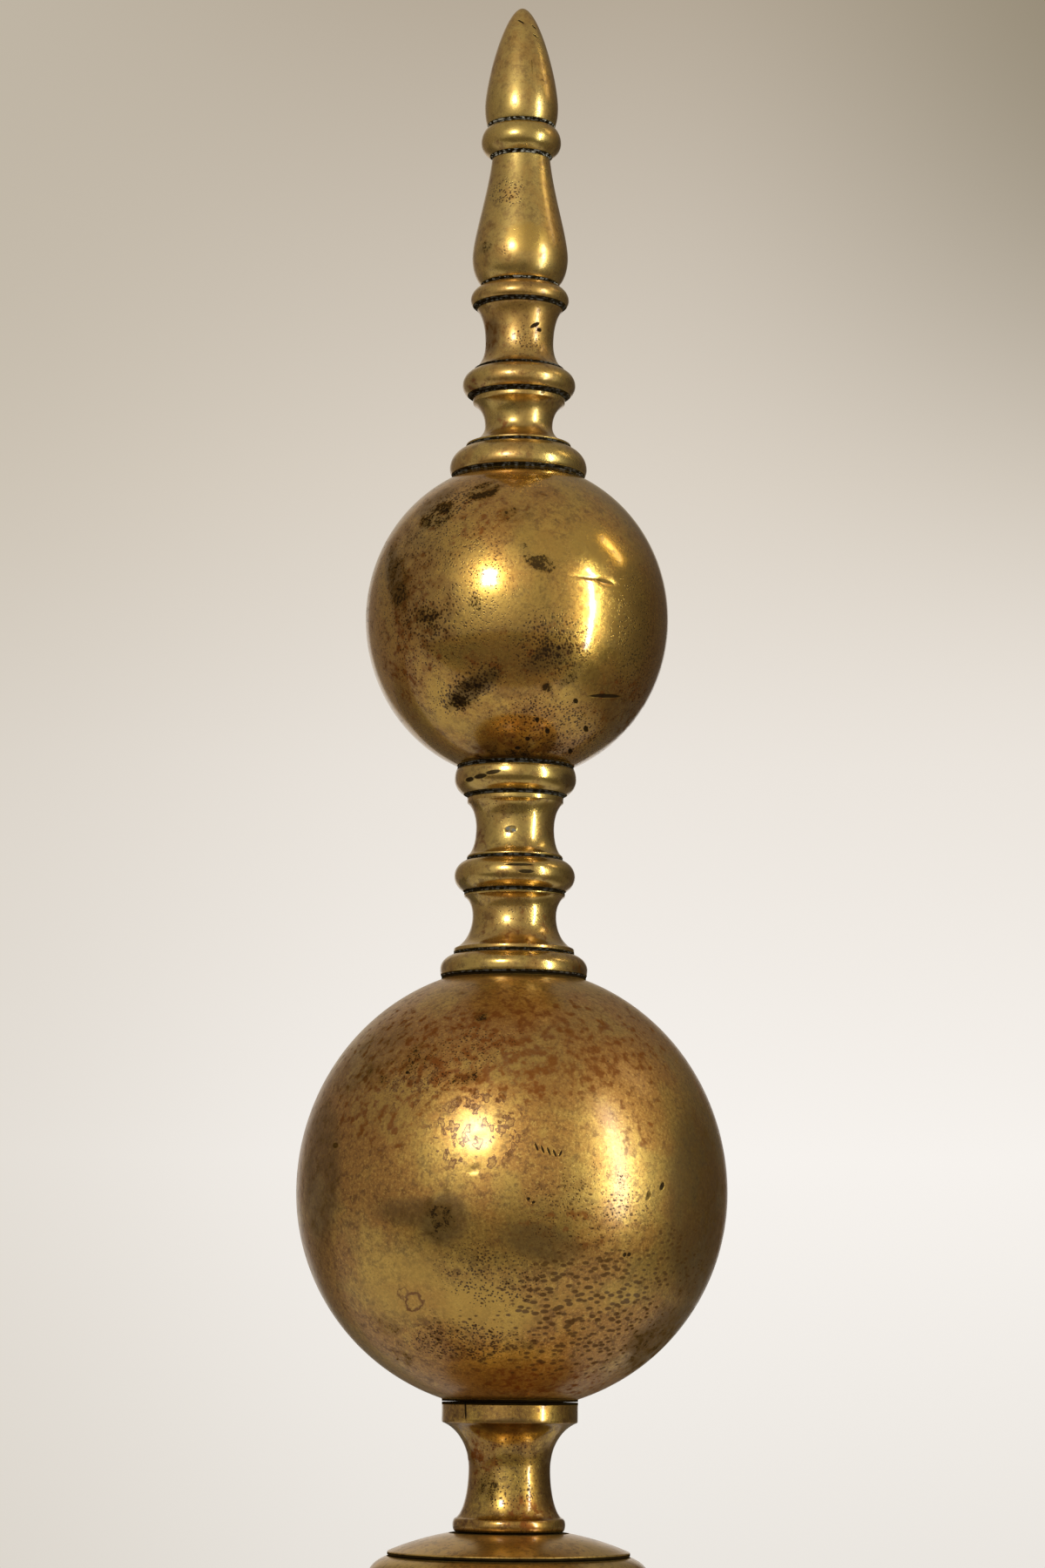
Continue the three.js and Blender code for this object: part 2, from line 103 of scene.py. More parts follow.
class Value:
    """An output of a node, which can be used in sums."""

    def __init__(self, nodes: "Nodes", socket: bpy.types.NodeSocket) -> None:
        """Keeps the tree's writer and the socket.

        Args:
            nodes: the writer of the tree that the socket is in.
            socket: the output socket.
        """
        self.nodes = nodes
        self.socket = socket

    def _math(self, operation: str, *operands: "Value | float") -> "Value":
        """One Math node on the operands."""
        return self.nodes.add("ShaderNodeMath", {"operation": operation}, dict(enumerate(operands)))

    __add__ = __radd__ = _operator("ADD")
    __sub__ = _operator("SUBTRACT")
    __rsub__ = _operator("SUBTRACT", reverse=True)
    __mul__ = __rmul__ = _operator("MULTIPLY")
    __truediv__ = _operator("DIVIDE")
    __rtruediv__ = _operator("DIVIDE", reverse=True)
    __mod__ = _operator("FLOORED_MODULO")
    __gt__ = _operator("GREATER_THAN")  # 1 where it is so, and else 0
    __lt__ = _operator("LESS_THAN")
    most = _operator("MAXIMUM")

    def floor(self) -> "Value":
        """The whole number below."""
        return self._math("FLOOR", self)

    def sine(self) -> "Value":
        """The sine of this angle in radians."""
        return self._math("SINE", self)

    def cosine(self) -> "Value":
        """The cosine of this angle in radians."""
        return self._math("COSINE", self)

    def between(self, low: float, high: float) -> "Value":
        """A smooth step.

        Args:
            low: where the step is still 0.
            high: where the step is 1. It may be below low, and then the step falls.

        Returns:
            The step's value, from 0 to 1.
        """
        settings = {"interpolation_type": "SMOOTHSTEP"}
        if low < high:
            limits = {"From Min": low, "From Max": high, "To Min": 0.0, "To Max": 1.0}
        else:
            limits = {"From Min": high, "From Max": low, "To Min": 1.0, "To Max": 0.0}
        return self.nodes.add("ShaderNodeMapRange", settings, {"Value": self, **limits})


class Nodes:
    """Writes the nodes of one tree. Every node of the script comes from its add method."""

    def __init__(self, tree: bpy.types.NodeTree) -> None:
        """Starts with an empty tree.

        Args:
            tree: the node tree to write.
        """
        self.tree = tree
        tree.nodes.clear()

    @staticmethod
    def _socket(sockets: Any, key: int | str) -> bpy.types.NodeSocket:
        """The socket with this number, identifier or name."""
        if isinstance(key, str):
            for socket in sockets:
                if socket.identifier == key:
                    return socket
        return sockets[key]

    def add(
        self,
        kind: str,
        settings: dict[str, Any] | None = None,
        inputs: dict[int | str, Any] | None = None,
        output: int | str = 0,
    ) -> Value:
        """Adds one node.

        Args:
            kind: the node's type.
            settings: the node's own properties. A ramp's stops are (place, colour) pairs.
            inputs: a value or a link for each named, numbered or identified socket.
            output: the output socket to return.

        Returns:
            The chosen output.
        """
        node = self.tree.nodes.new(kind)
        for key, value in (settings or {}).items():
            if key == "stops":
                elements = node.color_ramp.elements
                while len(elements) < len(value):
                    elements.new(1.0)
                for element, (place, colour) in zip(elements, value, strict=True):
                    element.position = place
                    element.color = (*colour, 1.0)
            else:
                setattr(node, key, value)
        for key, value in (inputs or {}).items():
            socket = self._socket(node.inputs, key)
            if isinstance(value, Value):
                self.tree.links.new(value.socket, socket)
            else:
                socket.default_value = value
        if not node.outputs:
            return Value(self, node.inputs[0])
        return Value(self, self._socket(node.outputs, output))

    def vector(self, operation: str, *operands: Any, output: int | str = 0) -> Value:
        """One Vector Math node.

        Args:
            operation: the node's operation.
            operands: its vectors, or for SCALE a vector and a number.
            output: the output socket to return.

        Returns:
            The chosen output.
        """
        keys: list[int | str] = ["Vector", "Scale"] if operation == "SCALE" else [0, 1, 2]
        inputs = dict(zip(keys, operands))
        return self.add("ShaderNodeVectorMath", {"operation": operation}, inputs, output)

    def split(self, vector: Value) -> tuple[Value, ...]:
        """The X, Y and Z of a vector."""
        parts = self.add("ShaderNodeSeparateXYZ", {}, {"Vector": vector}).socket.node.outputs
        return tuple(Value(self, parts[axis]) for axis in "XYZ")

    def millimetres(self) -> Value:
        """The shaded point in the piece's own space, in millimetres."""
        metres = self.add("ShaderNodeTexCoord", {}, {}, "Object")
        return self.vector("SCALE", metres, 1.0 / MM)

    def stored(self, name: str) -> Value:
        """A number that is stored on the mesh."""
        return self.add("ShaderNodeAttribute", {"attribute_name": name}, {}, "Fac")

    def blend(self, factor: Value | float, first: Any, second: Any) -> Value:
        """A colour between two.

        Args:
            factor: 0 for the first colour and 1 for the second.
            first: a colour, or a link to one.
            second: a colour, or a link to one.

        Returns:
            The mixed colour.
        """
        first, second = ((*c, 1.0) if isinstance(c, tuple) else c for c in (first, second))
        inputs = {"Factor_Float": factor, "A_Color": first, "B_Color": second}
        return self.add("ShaderNodeMix", {"data_type": "RGBA"}, inputs, "Result_Color")

    def cloud(self, place: Value, size: float, detail: float = 2.0, **more: float) -> Value:
        """Cloudy noise from 0 to 1.

        Args:
            place: the point, in millimetres.
            size: the size of the clouds, in millimetres.
            detail: how many finer layers it has.
            more: the Noise Texture's other sockets, such as Roughness and Distortion.

        Returns:
            The noise.
        """
        inputs = {"Vector": place, "Scale": 1.0 / size, "Detail": detail, **more}
        return self.add("ShaderNodeTexNoise", {}, inputs)

    def grains(self, place: Value, size: float) -> Value:
        """The distance to the nearest of a swarm of scattered points, 0 to about 1.

        Args:
            place: the point, in millimetres.
            size: the spacing of the swarm, in millimetres.

        Returns:
            The distance, in spacings.
        """
        return self.add("ShaderNodeTexVoronoi", {}, {"Vector": place, "Scale": 1.0 / size}, "Distance")


def material(name: str, write: Callable[[Nodes], Value]) -> bpy.types.Material:
    """A material from a function that writes its nodes.

    Args:
        name: the material's name.
        write: writes the nodes and returns the surface shader.

    Returns:
        The new material.
    """
    made = bpy.data.materials.new(name)
    made.use_nodes = True
    nodes = Nodes(made.node_tree)
    nodes.add("ShaderNodeOutputMaterial", {}, {"Surface": write(nodes)})
    return made


# ---- Finishes ----


class Grain(Enum):
    """How a mark on the brass is drawn."""

    BEATEN = "not at all, as it is beaten into the mesh"
    OUTLINED = "by itself, with a clear outline"
    SOFT = "as a region with a soft edge"
    BROKEN = "as a region of ragged patches"
    CLOTTED = "as a region of soft clots"
    SPECKLED = "as a region of small round specks"
    DROPLETS = "as a region of dried drops with a dark outline"
    DASHED = "as a region of short level dashes"


@dataclass(frozen=True)
class Coating:
    """What one kind of mark does to the brass."""

    colour: Colour
    hides: float  # how much of the brass it hides
    dull: float  # what it adds to the roughness
    relief: float  # how far it stands out, or is sunk below 0
    grain: Grain


class MarkKind(Enum):
    """What a mark on the brass is, in the order in which the marks lie on one another."""

    REDDENED = Coating((0.235, 0.072, 0.014), 0.8, 0.12, -0.05, Grain.CLOTTED)
    RUBBED = Coating((0.69, 0.43, 0.075), 0.75, -0.08, 0.0, Grain.SOFT)
    # Soft dark patches: painted shade along the balls' rims, under the balls and at the edges of the pieces
    # beside them, and brown tarnish round stains.
    DULLED = Coating((0.14, 0.08, 0.024), 0.75, 0.08, 0.0, Grain.SOFT)
    DASHED = Coating((0.12, 0.058, 0.018), 0.85, 0.15, -0.35, Grain.DASHED)
    DRIED = Coating((0.16, 0.065, 0.02), 0.85, 0.10, 0.3, Grain.DROPLETS)
    SPECKLED = Coating((0.05, 0.024, 0.01), 0.88, 0.12, -0.4, Grain.SPECKLED)
    STAINED = Coating((0.028, 0.016, 0.008), 0.93, 0.3, -0.1, Grain.BROKEN)
    RING = Coating((0.17, 0.06, 0.018), 0.8, 0.1, 0.2, Grain.OUTLINED)
    PIT = Coating((0.02, 0.013, 0.008), 0.94, 0.3, -1.6, Grain.OUTLINED)
    CRUST = Coating((0.34, 0.34, 0.30), 0.85, 0.4, 0.4, Grain.OUTLINED)
    DENT = Coating((0.0, 0.0, 0.0), 0.0, 0.0, 0.0, Grain.BEATEN)


@dataclass(frozen=True)
class Mark:
    """One mark on the front of the brass, placed from the stack's axis and the floor, in millimetres."""

    kind: MarkKind
    x: float
    z: float
    length: float
    width: float
    tilt: float = 0.0
    strength: float = 1.0  # of its colour, or for a dent its depth in millimetres


@dataclass
class Surface:
    """A surface while its layers are laid, one on another."""

    nodes: Nodes
    colour: Value | Colour
    dull: Value | float
    relief: Value | float

    def lay(self, mask: Value, hides: float, colour: Colour, dull: float = 0.0, relief: float = 0.0) -> None:
        """Lays one layer.

        Args:
            mask: where the layer lies, from 0 to 1.
            hides: how much it hides of what is under it.
            colour: its colour.
            dull: what it adds to the roughness.
            relief: how far it stands out, or is sunk below 0.
        """
        self.colour = self.nodes.blend(mask * hides, self.colour, colour)
        if dull:
            self.dull = mask * dull + self.dull
        if relief:
            self.relief = mask * relief + self.relief


@dataclass(frozen=True)
class AgedBrass:
    """Old rubbed brass: golden where it is clean, and brown where it is tarnished."""

    name: str
    clean: Colour = (0.66, 0.45, 0.115)
    tarnish: Colour = (0.40, 0.185, 0.03)
    tarnished: float = 0.4  # the share of the surface under tarnish
    mottle: float = 0.4  # how strongly small brown mottles show
    speckle: float = 0.4  # how many fine dark specks it has
    grain: float = 0.25  # how strongly its finest grain shows
    gloss: float = 0.2  # roughness where it is clean
    sheen: float = 0.6  # the share of that roughness which its polish keeps
    seam: float = 0.95  # how dark the dirt in its seams is
    crust: float = 0.0  # how much pale crust lies in its seams
    seed: float = 0.0
    marks: tuple[Mark, ...] = ()

    def _outlined(self, nodes: Nodes, flat: Value, mark: Mark) -> Value:
        """The mask of one mark with a clear outline, from 0 to its strength."""
        inputs = {
            "Vector": flat,
            "Location": (mark.x, mark.z, 0.0),
            "Rotation": (0.0, 0.0, math.radians(mark.tilt)),
            "Scale": (mark.length / 2, mark.width / 2, 1.0),
        }
        local = nodes.add("ShaderNodeMapping", {"vector_type": "TEXTURE"}, inputs)
        away = nodes.vector("LENGTH", local, output="Value")
        if mark.kind is MarkKind.RING:
            return away.between(0.6, 0.85) * away.between(1.12, 0.95) * mark.strength
        return away.between(1.1, 0.75) * mark.strength

    def _masks(self, nodes: Nodes, place: Value) -> dict[MarkKind, Value]:
        """The masks of all marks with clear outlines, one for each kind that there is."""
        x, y, z = nodes.split(place)
        flat = nodes.add("ShaderNodeCombineXYZ", {}, {"X": x, "Y": z, "Z": 0.0})
        drift = nodes.add("ShaderNodeTexNoise", {}, {"Vector": flat, "Scale": 0.5, "Detail": 3.0}, "Color")
        drift = nodes.vector("SUBTRACT", drift, (0.5, 0.5, 0.5))
        wandering = nodes.vector("ADD", flat, nodes.vector("MULTIPLY", drift, (4.0, 4.0, 0.0)))
        masks: dict[MarkKind, Value] = {}
        for mark in self.marks:
            if mark.kind.value.grain is not Grain.OUTLINED:
                continue
            mask = self._outlined(nodes, wandering if mark.kind is MarkKind.RING else flat, mark)
            masks[mark.kind] = masks[mark.kind].most(mask) if mark.kind in masks else mask
        front = y < stack_axis().y / MM
        return {kind: mask * front for kind, mask in masks.items()}

    @staticmethod
    def _region(nodes: Nodes, kind: MarkKind, place: Value, middle: Value, fine: Value) -> Value:
        """The mask of all marks of a kind that is drawn as a region, from 0 to 1."""
        region = nodes.stored(kind.name.lower())
        grain = kind.value.grain
        if grain is Grain.BROKEN:
            shade = (region * 0.5 + middle * 0.7).between(0.50, 1.0) * 0.5
            return shade.most((region * 0.36 + middle * 0.75 + fine * 0.6).between(0.97, 1.08))
        if grain is Grain.CLOTTED:
            freckles = nodes.cloud(place, 3.0, 3.0, Roughness=0.55)
            return (region * 0.3).most((region * 0.24 + freckles * 0.8 + fine * 0.2).between(0.64, 0.84))
        if grain is Grain.SPECKLED:
            small = (region * 0.42 + middle * 0.5 - nodes.grains(place, 0.95)).between(0.14, 0.28)
            large = (region * 0.40 + fine * 0.4 - nodes.grains(place, 1.9)).between(0.28, 0.38)
            return small.most(large) * region.between(0.0, 0.3)
        if grain is Grain.DROPLETS:
            wander = nodes.add("ShaderNodeTexNoise", {}, {"Vector": place, "Scale": 0.45}, "Color")
            wandering = nodes.vector("ADD", place, nodes.vector("SCALE", wander, 5.0))
            away = nodes.grains(nodes.vector("MULTIPLY", wandering, (1.25, 1.25, 0.9)), 4.0)
            outline = away.between(0.20, 0.30) * away.between(0.46, 0.36)
            return outline.most(away.between(0.38, 0.30) * 0.45) * region.between(0.1, 0.6)
        if grain is Grain.DASHED:
            level = nodes.vector("MULTIPLY", place, (0.52, 0.52, 1.0))
            dashes = region * 0.42 + fine * 0.35 + middle * 0.3 - nodes.grains(level, 1.5)
            return dashes.between(0.26, 0.42) * region.between(0.0, 0.25)
        return (region + middle * 0.8).between(0.65, 1.35)

    def _age(self, look: Surface, place: Value, broad: Value, middle: Value, fine: Value) -> None:
        """Lays the tarnish, the mottles and the specks that are all over the brass."""
        nodes = look.nodes
        edge = 0.60 - 0.22 * self.tarnished
        cover = (broad * 0.5 + middle * 0.5).between(edge - 0.07, edge + 0.08)
        look.lay(cover, 0.45 + 0.4 * self.tarnished, self.tarnish, dull=0.10)
        mottles = nodes.cloud(place, 3.0, 5.0, Roughness=0.7).between(0.49, 0.63)
        look.lay(mottles, self.mottle, (0.15, 0.062, 0.016), dull=0.08, relief=-0.1)
        look.lay(broad.between(0.52, 0.40), 0.3, (0.46, 0.33, 0.06))
        look.lay(fine.between(0.50, 0.34), self.grain, (0.17, 0.085, 0.02))
        look.lay(fine.between(0.52, 0.68), self.grain * 0.8, (0.86, 0.57, 0.13))
        specks = (nodes.grains(place, 1.45) + fine * 0.5).between(0.54, 0.38)
        thick = (broad * 0.4 + middle * 0.6).between(0.66 - 0.28 * self.speckle, 0.74 - 0.28 * self.speckle)
        look.lay(specks * thick, 0.85, (0.05, 0.027, 0.012), dull=0.10, relief=-0.4)

    def _write(self, nodes: Nodes) -> Value:
        """Writes the finish."""
        place = nodes.millimetres()
        shifted = nodes.vector("ADD", place, (17.0 * self.seed, 9.0 * self.seed, 23.0 * self.seed))
        broad = nodes.cloud(shifted, 30.0, 3.0, Roughness=0.6)
        middle = nodes.cloud(shifted, 6.5, 6.0, Roughness=0.7, Distortion=0.5)
        fine = nodes.cloud(shifted, 1.0, 3.0, Roughness=0.75)
        dull = fine * 0.06
        relief = middle * (0.12 * self.grain) + fine * (0.16 * self.grain)
        look = Surface(nodes, self.clean, dull, relief)
        self._age(look, shifted, broad, middle, fine)
        kinds = {mark.kind for mark in self.marks}
        masks = self._masks(nodes, place)
        for kind in (kind for kind in MarkKind if kind in kinds and kind is not MarkKind.DENT):
            mask = masks[kind] if kind in masks else self._region(nodes, kind, shifted, middle, fine)
            coating = kind.value
            look.lay(mask, coating.hides, coating.colour, coating.dull, coating.relief)

        soil = nodes.stored("soil")
        dirt = (soil.between(0.1, 0.9) * (0.6 + fine * 0.8)).between(0.15, 0.7)
        look.lay(dirt, self.seam, (0.018, 0.012, 0.006), dull=0.8)
        if self.crust:
            flakes = soil.between(0.5, 0.85) * nodes.cloud(place, 1.3, 2.0).between(0.50, 0.58)
            look.lay(flakes, self.crust, (0.78, 0.76, 0.66), dull=0.2, relief=0.3)
        relief = {"Strength": 0.4, "Distance": 0.0002, "Height": look.relief}
        inputs = {
            "Base Color": look.colour,
            "Metallic": 1.0,
            "Roughness": look.dull + (self.gloss - 0.03),
            "Specular Tint": (0.72, 0.60, 0.45, 1.0),
            "Coat Weight": look.dull.between(0.36, 0.12),
            "Coat Roughness": self.gloss * self.sheen,
            "Normal": nodes.add("ShaderNodeBump", {}, relief, "Normal"),
        }
        return nodes.add("ShaderNodeBsdfPrincipled", {}, inputs)

    def material(self) -> bpy.types.Material:
        """The finish as a material, which is written once."""
        return bpy.data.materials.get(self.name) or material(self.name, self._write)


@dataclass(frozen=True)
class BlackIron:
    """Wrought iron, blackened by fire, with a little rust."""

    name: str
    scale: Colour = (0.045, 0.042, 0.04)
    bare: Colour = (0.13, 0.12, 0.11)
    rust: Colour = (0.13, 0.055, 0.025)
    rusted: float = 0.35

    def _write(self, nodes: Nodes) -> Value:
        """Writes the finish."""
        place = nodes.millimetres()
        blows = nodes.cloud(place, 14.0, 2.0)
        flakes = nodes.cloud(place, 3.0, 5.0, Roughness=0.7)
        grit = nodes.cloud(place, 0.7, 3.0)
        worn = (blows * 0.5 + flakes * 0.5).between(0.50, 0.62)
        rusty = (nodes.cloud(place, 22.0, 5.0) * 0.6 + flakes * 0.4).between(
            0.62 - 0.2 * self.rusted, 0.72 - 0.2 * self.rusted
        )
        colour = nodes.blend(worn * 0.7, self.scale, self.bare)
        colour = nodes.blend(rusty * 0.8, colour, self.rust)
        roughness = 0.52 + flakes * 0.2 - worn * 0.14 + rusty * 0.2
        relief = flakes * 0.7 + grit * 0.3
        inputs = {"Strength": 0.6, "Distance": 0.0004, "Height": relief}
        bump = nodes.add("ShaderNodeBump", {}, inputs, "Normal")
        inputs = {
            "Base Color": colour,
            "Metallic": 0.85 - rusty * 0.7,
            "Roughness": roughness,
            "Normal": bump,
        }
        return nodes.add("ShaderNodeBsdfPrincipled", {}, inputs)

    def material(self) -> bpy.types.Material:
        """The finish as a material."""
        return material(self.name, self._write)


# ---- Outlines of turned pieces, as points (radius, height) in millimetres ----


def arc(centre: Point, radii: Point, start: float, end: float, steps: int) -> list[Point]:
    """Points on an ellipse.

    Args:
        centre: the ellipse's centre.
        radii: its radii across and up.
        start: the first point's angle, in degrees.
        end: the last point's angle, in degrees.
        steps: how many steps lie between the two.

    Returns:
        The points.
    """
    angles = [math.radians(start + (end - start) * i / steps) for i in range(steps + 1)]
    return [(centre[0] + radii[0] * math.cos(a), centre[1] + radii[1] * math.sin(a)) for a in angles]


def sweep(start: Point, end: Point, turn: float, steps: int = 14) -> list[Point]:
    """Points on an arc that stands upright at its start.

    Args:
        start: the first point.
        end: the last point.
        turn: how far the arc has turned at its end, in degrees.
        steps: how many steps lie between the two.

    Returns:
        The points.
    """
    angle = math.radians(turn)
    across = (start[0] - end[0]) / (1 - math.cos(angle))
    up = (end[1] - start[1]) / math.sin(angle)
    return arc((start[0] - across, start[1]), (across, up), 0, turn, steps)


def bowed(middle: Point, foot: Point, head: Point, turn: float, steps: int = 14) -> list[Point]:
    """Points from a foot through a widest or narrowest place to a head.

    Args:
        middle: the widest or narrowest place, where the outline stands upright.
        foot: the first point.
        head: the last point.
        turn: how far the outline has turned at both, in degrees.
        steps: how many steps each half has.

    Returns:
        The points.
    """
    return sweep(middle, foot, turn, steps)[::-1] + sweep(middle, head, turn, steps)[1:]


def bezier(controls: Sequence[Point], steps: int) -> list[Point]:
    """Points on a cubic Bezier curve.

    Args:
        controls: the four control points.
        steps: how many steps the curve has.

    Returns:
        The points.
    """
    points = []
    for i in range(steps + 1):
        t = i / steps
        shares = ((1 - t) ** 3, 3 * t * (1 - t) ** 2, 3 * t * t * (1 - t), t**3)
        points.append(tuple(sum(s * c[axis] for s, c in zip(shares, controls)) for axis in (0, 1)))
    return points


def eased(outline: Sequence[Point], radius: float = 0.35) -> list[Point]:
    """Rounds the sharp corners of an open outline.

    Args:
        outline: the points.
        radius: how far from a corner the rounding starts, in millimetres.

    Returns:
        The points with three in place of each sharp corner.
    """
    result = [outline[0]]
    for before, corner, after in zip(outline, outline[1:], outline[2:]):
        back, ahead = Vector(before) - Vector(corner), Vector(after) - Vector(corner)
        if back.length < 1e-6 or ahead.length < 1e-6:
            continue
        if back.angle(ahead) > BLUNT_CORNER:
            result.append(corner)
            continue
        near = Vector(corner) + back.normalized() * min(radius, back.length * 0.45)
        far = Vector(corner) + ahead.normalized() * min(radius, ahead.length * 0.45)
        middle = (near + far) * 0.25 + Vector(corner) * 0.5
        result += [tuple(near), tuple(middle), tuple(far)]
    return result + [outline[-1]]


def filled(outline: Sequence[Point]) -> list[Point]:
    """Adds points along an outline's long stretches, closer together near its ends.

    Args:
        outline: the points.

    Returns:
        The points, with more between them.
    """
    result = [tuple(outline[0])]
    ends = (Vector(outline[0]), Vector(outline[-1]))
    for first, second in zip(outline, outline[1:]):
        spot, end = Vector(first), Vector(second)
        while (end - spot).length > 1e-6:
            near = min((spot - tip).length for tip in ends)
            step = max(0.25, min(0.9, near * 0.4))
            spot = end if (end - spot).length < step * 1.4 else spot + (end - spot).normalized() * step
            result.append(tuple(spot))
    return result


@dataclass(frozen=True)
class Collar:
    """A convex ring that swells from its foot to its girth and closes in again to its head."""

    height: float
    foot: float
    head: float
    girth: float
    at: float

    def outer(self) -> list[Point]:
        """The outline from the foot to the head."""
        return bowed((self.girth, self.at), (self.foot, 0.0), (self.head, self.height), SWELL_TURN)


@dataclass(frozen=True)
class Spool:
    """A concave neck that flares to a thin lip at its foot and at its head."""

    height: float
    foot: float
    head: float
    girth: float
    at: float
    foot_lip: float
    head_lip: float

    def outer(self) -> list[Point]:
        """The outline from the foot to the head."""
        ends = (self.foot, self.foot_lip), (self.head, self.height - self.head_lip)
        side = bowed((self.girth, self.at), *ends, COVE_TURN)
        return eased([(self.foot, 0.0), *side, (self.head, self.height)])


@dataclass(frozen=True)
class Vase:
    """A round belly that tapers to a slim head."""

    height: float
    foot: float
    head: float
    girth: float
    at: float
    shoulder: float
    taper: float
    flare: float

    def outer(self) -> list[Point]:
        """The outline from the foot to the head."""
        lower = sweep((self.girth, self.at), (self.foot, 0.0), SWELL_TURN)
        side = [
            (self.girth, self.at),
            (self.girth, self.at + self.shoulder),
            (self.head + self.flare, self.height - self.taper),
            (self.head, self.height),
        ]
        return lower[::-1] + bezier(side, 40)[1:]


@dataclass(frozen=True)
class Spire:
    """A round-shouldered point."""

    height: float
    foot: float
    girth: float
    at: float
    shoulder: float
    nose: float

    def outer(self) -> list[Point]:
        """The outline from the foot to the point."""
        lower = sweep((self.girth, self.at), (self.foot, 0.0), SWELL_TURN)
        side = [
            (self.girth, self.at),
            (self.girth, self.at + self.shoulder),
            (self.nose, self.height),
            (0.0, self.height),
        ]
        return lower[::-1] + bezier(side, 48)[1:]


@dataclass(frozen=True)
class Ball:
    """A hollow ball, cut flat at its poles, with a low lip round each flat."""

    girth: float
    rise: float
    drop: float
    foot: float
    head: float
    wall: float = 3.0
    pad: float = 4.0
    lip: float = 0.7

    def _half(self, half: float, seat: float) -> tuple[list[Point], list[Point]]:
        """One half outside and inside, each from the ball's middle to its pole."""
        pole = half * math.sqrt(1 - (seat / self.girth) ** 2)
        inner_pole = pole + self.lip - self.pad
        turn = math.degrees(math.asin(pole / half))
        inner_turn = math.degrees(math.asin(inner_pole / (half - self.wall)))
        outside = arc((0, 0), (self.girth, half), 0, turn, 96) + [(seat, pole + self.lip)]
        inside = arc((0, 0), (self.girth - self.wall, half - self.wall), 0, inner_turn, 12)
        return outside, inside + [(BORE, inner_pole)]

    def _lift(self) -> float:
        """The height of the ball's middle above its foot."""
        return self.drop * math.sqrt(1 - (self.foot / self.girth) ** 2) + self.lip

    def outer(self) -> list[Point]:
        """The outline from the foot to the head."""
        top = self._half(self.rise, self.head)[0]
        low = [(r, -z) for r, z in self._half(self.drop, self.foot)[0]]
        return eased([(r, z + self._lift()) for r, z in low[::-1] + top[1:]], 0.2)

    def inner(self) -> list[Point]:
        """The outline of the hollow, from the head to the foot."""
        top = self._half(self.rise, self.head)[1]
        low = [(r, -z) for r, z in self._half(self.drop, self.foot)[1]]
        return [(r, z + self._lift()) for r, z in top[::-1] + low[1:]]


@dataclass(frozen=True)
class Neck:
    """A flat band over a long cove, which ends in a round bead."""

    height: float
    head: float
    band: float
    girth: float
    at: float
    foot: float
    bead: float
    swell: float

    def outer(self) -> list[Point]:
        """The outline from the foot to the head."""
        bead = arc((self.foot, self.bead / 2), (self.swell, self.bead / 2), -90, 90, 12)
        ends = (self.foot - 0.25, self.bead + 0.2), (self.head, self.height - self.band)
        cove = bowed((self.girth, self.at), *ends, COVE_TURN, 20)
        return eased([*bead, *cove, (self.head, self.height)])


@dataclass(frozen=True)
class Dome:
    """A shallow domed plate with a thin upright edge."""

    height: float
    crown: float
    rim: float
    edge: float

    def outer(self) -> list[Point]:
        """The outline from the foot to the head."""
        width, rise = self.rim - self.crown, self.height - self.edge
        side = [
            (self.rim, self.edge),
            (self.rim - width * 0.22, self.edge + rise * 0.33),
            (self.crown + width * 0.41, self.edge + rise * 0.77),
            (self.crown, self.height),
        ]
        return eased([(self.rim, 0.0), *bezier(side, 24)])


@dataclass(frozen=True)
class Drum:
    """A deep cove over a bold half-round ring."""

    height: float
    head: float
    girth: float
    at: float
    plinth: float
    lip: float
    ring_girth: float
    ring: float

    def outer(self) -> list[Point]:
        """The outline from the foot to the head."""
        ring = arc((self.plinth, self.ring / 2), (self.ring_girth - self.plinth, self.ring / 2), -90, 90, 20)
        ends = (self.plinth, self.ring + self.lip), (self.head, self.height - self.lip)
        cove = bowed((self.girth, self.at), *ends, COVE_TURN, 20)
        return eased([*ring, *cove, (self.head, self.height)])


def soiling(closed: Sequence[Point], outer: Sequence[Point]) -> list[float]:
    """How dirty each point of a turned piece's outline is.

    Args:
        closed: the whole outline.
        outer: the part of it that shows, from the foot to the head.

    Returns:
        1 at a seam and on what doesn't show, and less away from the seams.
    """
    seams = (Vector(outer[0]), Vector(outer[-1]))
    shown = set(outer)
    result = []
    for point in closed:
        away = min((Vector(point) - seam).length for seam in seams if seam.x > 1.0)
        result.append(math.exp(-((away / SOIL_REACH) ** 2)) if point in shown else 1.0)
    return result


# ---- Meshes ----


def linked(name: str, mesh: bpy.types.Mesh) -> bpy.types.Object:
    """A mesh as an object in the scene."""
    made = bpy.data.objects.new(name, mesh)
    bpy.context.scene.collection.objects.link(made)
    return made


def baked(piece: bpy.types.Object) -> bpy.types.Object:
    """Turns what a piece's modifiers make into its own mesh, and removes them."""
    bpy.context.view_layer.update()
    shape = bpy.data.meshes.new_from_object(piece.evaluated_get(bpy.context.evaluated_depsgraph_get()))
    piece.modifiers.clear()
    piece.data = shape
    return piece


def placed(piece: bpy.types.Object, slot: Slot, node: str) -> bpy.types.Object:
    """Makes a finished piece ride on the andiron in place of its CAD node.

    Args:
        piece: the finished piece.
        slot: the material slot whose name begins the piece's name.
        node: the CAD node that it stands for.

    Returns:
        The piece.
    """
    piece.name = f"{slot.name.lower()}_{node}"
    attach(piece, BODY)
    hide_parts(node)
    LOG.info("%s: %d faces", piece.name, len(piece.data.polygons))
    return piece


